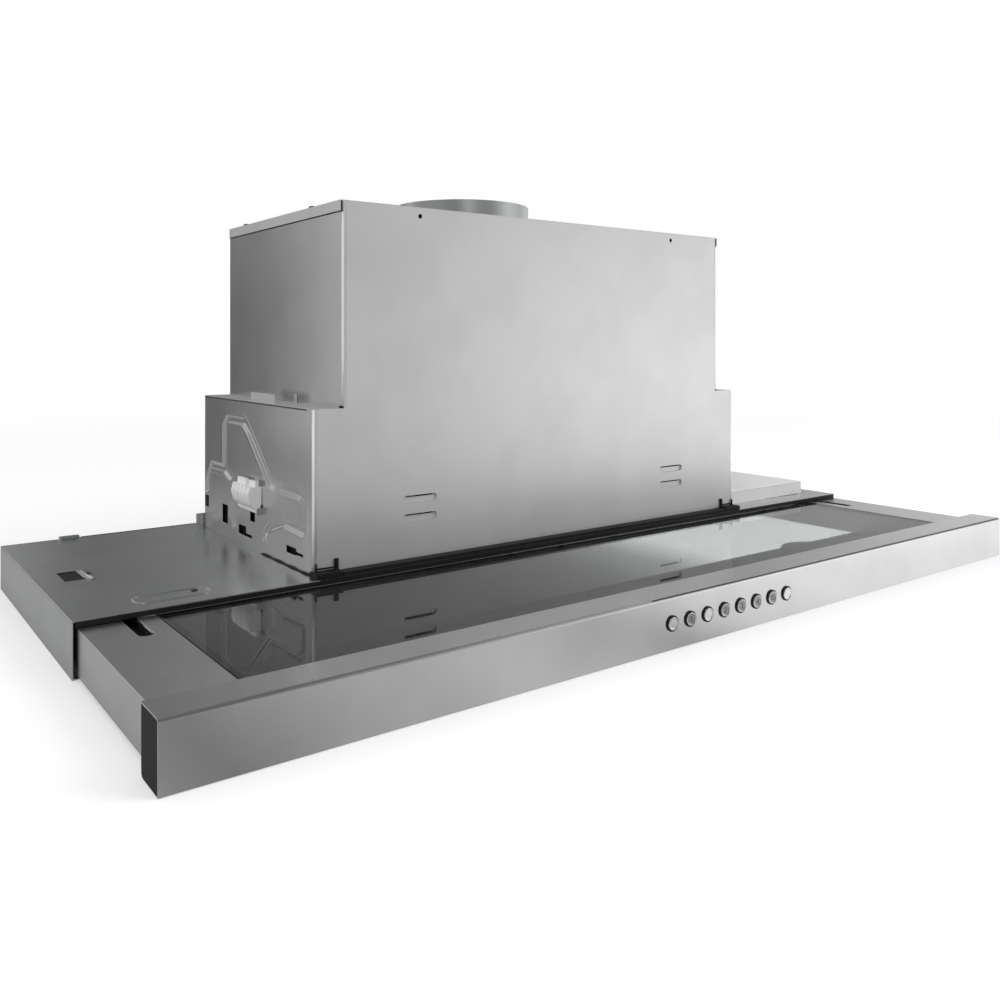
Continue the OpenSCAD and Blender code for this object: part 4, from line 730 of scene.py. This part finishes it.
# Painted shade: a black line along the bar's top front edge, and a black sheet under each arm's stop slot for the
# shade inside it, with a bright trim beside it, in mm
BAR_SHADE_STOPS, BAR_SHADE_Y, BAR_SHADE_Z, BAR_SHADE_R = (-90, 80, 260, 447), -240.9, 39.45, 0.38
SLOT_SHADE_PLACE, SLOT_SHADE_CORNER, SLOT_SHADE_Z, SLOT_SHADE_RISE = (-442.6, -404.02, -89.2, 72), 1, 28.2, 0.5
TRIM_STOPS, TRIM_X, TRIM_Z, TRIM_R = (-84, -70, -50), -405.2, 34.9, 0.5
bar_edge_shade = swept([(x, BAR_SHADE_Y, BAR_SHADE_Z) for x in BAR_SHADE_STOPS], BAR_SHADE_R, sides=6)
add_piece("bar_edge_shade", *bar_edge_shade, rubber_and_shade_black, "seal_rubber", "pullout")
slot_shade_sheet = slab(rounded(*SLOT_SHADE_PLACE, SLOT_SHADE_CORNER, SLOT_SHADE_Z), SLOT_SHADE_RISE, edge=0.1)
add_piece("slot_shade_sheets", *mirrored_shape(slot_shade_sheet), rubber_and_shade_black, "black_plastic", "pullout")
slot_trim = swept([(TRIM_X, y, TRIM_Z) for y in TRIM_STOPS], TRIM_R)
add_piece("slot_trims", *mirrored_shape(slot_trim), arm_steel, "bar_steel", "pullout")

# Float glass, tinted grey in the mass: it darkens what is seen through it. A faint haze in clouds about 110 mm apart
# keeps its mirror from being perfect.
HAZE_PER_METRE = 9.0
glass = bpy.data.materials.new("grey_tinted_float_glass")
glass.use_nodes = True
tree = glass.node_tree
shader = tree.nodes["Principled BSDF"]
shader.inputs["Base Color"].default_value = linear("747676")
shader.inputs["Transmission Weight"].default_value = 1.0
shader.inputs["IOR"].default_value = 1.52
place = add_node(tree, "ShaderNodeTexCoord").outputs["Object"]
haze = add_node(tree, "ShaderNodeTexNoise", {"Vector": place, "Scale": HAZE_PER_METRE, "Detail": 2.0})
rough = add_node(tree, "ShaderNodeMapRange", {"Value": haze.outputs["Fac"], "To Min": 0.0, "To Max": 0.012})
tree.links.new(rough.outputs[0], shader.inputs["Roughness"])
dress(glass, "glass_pane")
soften(0.5, "glass_pane")

# Buttons
# Eight push buttons of chromed ABS in dark bezels, whose dark finish is painted shade for the ring round each button.
# Each has a rim round a sunken face, five faces carry a small raised mark, and the flange behind keeps the button in
# the bar.

# Chrome mirrors sharply. The faces with a mark are a greyer satin on which it can be read, and the bezels a dark
# mirror, painted dark for the shade in the ring round each button.
chrome = sheet_material("chromed_abs", "ececee", 0.12, (2, 2, 2), 0.03, 0.0003)
satin_chrome = sheet_material("satin_chromed_abs", "9c9ea0", 0.2, (2, 2, 2), 0.03, 0.0003)
bezel_shade_chrome = sheet_material("dark_chromed_abs_painted_shade", "343436", 0.2, (2, 2, 2), 0.03, 0.0003)
dress(bezel_shade_chrome, "button_bezels")
ink = moulded("black_printed_ink", "141414", 0.5, 0.5, 0.004)
BUTTON_X0, BUTTON_PITCH, BUTTON_Z = -70.0, 20.0, 19.8
BUTTON_R = 5.0
FACE_Y, MARK_Y, MARK_R = -243.05, -243.2, 0.2
# What counts as the face: how far it may lie behind FACE_Y, and its radius
FACE_SLACK, FACE_R = 0.1, 4.2
RUN_WELD = 0.01
# A button from the middle of its back to the middle of its face: place along Y and radius
BUTTON_RUN = [(-232.6, 0.0), (-232.6, 2.3), (-232.9, 2.5), (-239.1, 2.5), (-239.1, 6.4), (-239.3, 6.6),
              (-240.1, 6.6), (-240.3, 6.4), (-240.3, BUTTON_R), (-242.9, BUTTON_R), (-243.25, 4.9), (-243.4, 4.65),
              (-243.4, 4.4), (-243.3, 4.2), (FACE_Y, 4.0), (FACE_Y - 0.05, 3.0), (FACE_Y - 0.1, 1.5),
              (FACE_Y - 0.12, 0.0)]
# The marks by button, as lines along X and Z in mm: the fan's steps, and a ring
RING_R, RING_STEPS, RING_BUTTON = 1.7, 20, 7
MARKS = {2: [(-0.8, 1.1), (0.2, 1.9), (0.2, -1.9)],
         4: [(-1.1, 1.0), (-0.9, 1.6), (0, 2.0), (0.9, 1.6), (1.1, 0.9), (0.8, 0.2), (-1.1, -1.8), (1.2, -1.8)],
         5: [(-1.1, 1.4), (-0.5, 1.9), (0.4, 1.9), (1.1, 1.4), (1.0, 0.5), (0.1, 0.1), (1.1, -0.4), (1.2, -1.2),
             (0.5, -1.9), (-0.5, -1.9), (-1.1, -1.4)],
         6: [(0.6, -1.9), (0.6, 1.9), (-1.2, -0.8), (1.2, -0.8)],
         RING_BUTTON: [(RING_R * math.cos(turn), RING_R * math.sin(turn))
                       for turn in (2 * math.pi * k / RING_STEPS for k in range(RING_STEPS))]}


def turned(run, x, z, sectors=40):
    """A round shape about an axis along Y, from its run of places along Y and radii."""
    points = [(x + r * math.cos(2 * math.pi * k / sectors), y, z + r * math.sin(2 * math.pi * k / sectors))
              for y, r in run for k in range(sectors)]
    faces = [(i * sectors + k, i * sectors + (k + 1) % sectors, (i + 1) * sectors + (k + 1) % sectors,
              (i + 1) * sectors + k) for i in range(len(run) - 1) for k in range(sectors)]
    return points, faces


for i in range(1, 9):
    x = BUTTON_X0 + BUTTON_PITCH * (i - 1)
    button = add_piece(f"push_button_{i}", *turned(BUTTON_RUN, x, BUTTON_Z), chrome, "button_chrome", f"button_{i}")
    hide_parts(f"button_{i}")
    weld = button.modifiers.new("weld", "WELD")
    weld.merge_threshold = RUN_WELD * MM
    if i in MARKS:
        button.data.materials.append(satin_chrome)
        middle = Vector((x, BUTTON_Z)) * MM
        for face in button.data.polygons:
            if face.center.y < (FACE_Y + FACE_SLACK) * MM and (face.center.xz - middle).length < FACE_R * MM:
                face.material_index = 1
        line = [(x + u, MARK_Y, BUTTON_Z + v) for u, v in MARKS[i]]
        mark = swept(line, MARK_R, closed=i == RING_BUTTON, sides=6)
        add_piece(f"button_{i}_mark", *mark, ink, "black_plastic", f"button_{i}")

# Lamps
# Two lamps in the lamp panel, each a white housing with a lens of frosted acrylic snapped over it. The lens spreads
# the light and looks milky, with grains of 1 mm.
frosted = moulded("frosted_acrylic", "f2f3f0", 0.35, 1.0, 0.03)
frosted.node_tree.nodes["Principled BSDF"].inputs["Transmission Weight"].default_value = 0.35
dress(frosted, "lamp_lenses")

# Grease filters
# Aluminium frames around a sheet of expanded aluminium mesh, hinged at the rear wall and latched at the front. The
# aluminium is left as it comes from the mill, with rolling lines across, drawn 1.5 mm wide so that they show.
aluminium = sheet_material("mill_finish_aluminium", "d8dadc", 0.3, (30, 1.5, 30), 0.04, 0.001)
dress(aluminium, "left_filter", "right_filter")
FILTER_IN, FILTER_OUT, FILTER_Y0, FILTER_Y1, FILTER_RIM = 6.0, 384.0, 77.4, 238.9, 14.0
# The mesh's height, a strand's share of half a diamond, how far it twists up and down and its thickness, and a
# diamond's width and depth
MESH_Z, STRAND, STRAND_RISE, STRAND_THICK = 2.9, 0.24, 0.45, 0.4
DIAMOND_W, DIAMOND_D = 9.0, 5.4


def expanded_mesh(x0, x1, y0, y1, z):
    """Expanded sheet: each diamond is a ring of four strands that twist a little out of the plane."""
    columns, rows = round((x1 - x0) / DIAMOND_W), round((y1 - y0) / DIAMOND_D)
    w, d = (x1 - x0) / columns, (y1 - y0) / rows
    points, faces = [], []
    for row in range(2 * rows - 1):
        for column in range(columns - row % 2):
            cx, cy = x0 + w * (column + 0.5 + 0.5 * (row % 2)), y0 + d * (row + 1) / 2
            start = len(points)
            for reach, rise in ((1.0, 0.0), (1 - STRAND, STRAND_RISE)):
                points += [(cx + w / 2 * reach, cy, z), (cx, cy + d / 2 * reach, z + rise),
                           (cx - w / 2 * reach, cy, z), (cx, cy - d / 2 * reach, z - rise)]
            faces += [(start + k, start + (k + 1) % 4, start + 4 + (k + 1) % 4, start + 4 + k) for k in range(4)]
    return points, faces


for name, sign in (("left", -1), ("right", 1)):
    points, faces = expanded_mesh(FILTER_IN + FILTER_RIM, FILTER_OUT - FILTER_RIM, FILTER_Y0 + FILTER_RIM,
                                  FILTER_Y1 - FILTER_RIM, MESH_Z)
    layer = add_piece(f"{name}_filter_mesh", [(sign * x, y, z) for x, y, z in points], faces, aluminium,
                      "filter_mesh", f"{name}_filter", smooth=False)
    thick = layer.modifiers.new("sheet", "SOLIDIFY")
    thick.thickness = STRAND_THICK * MM
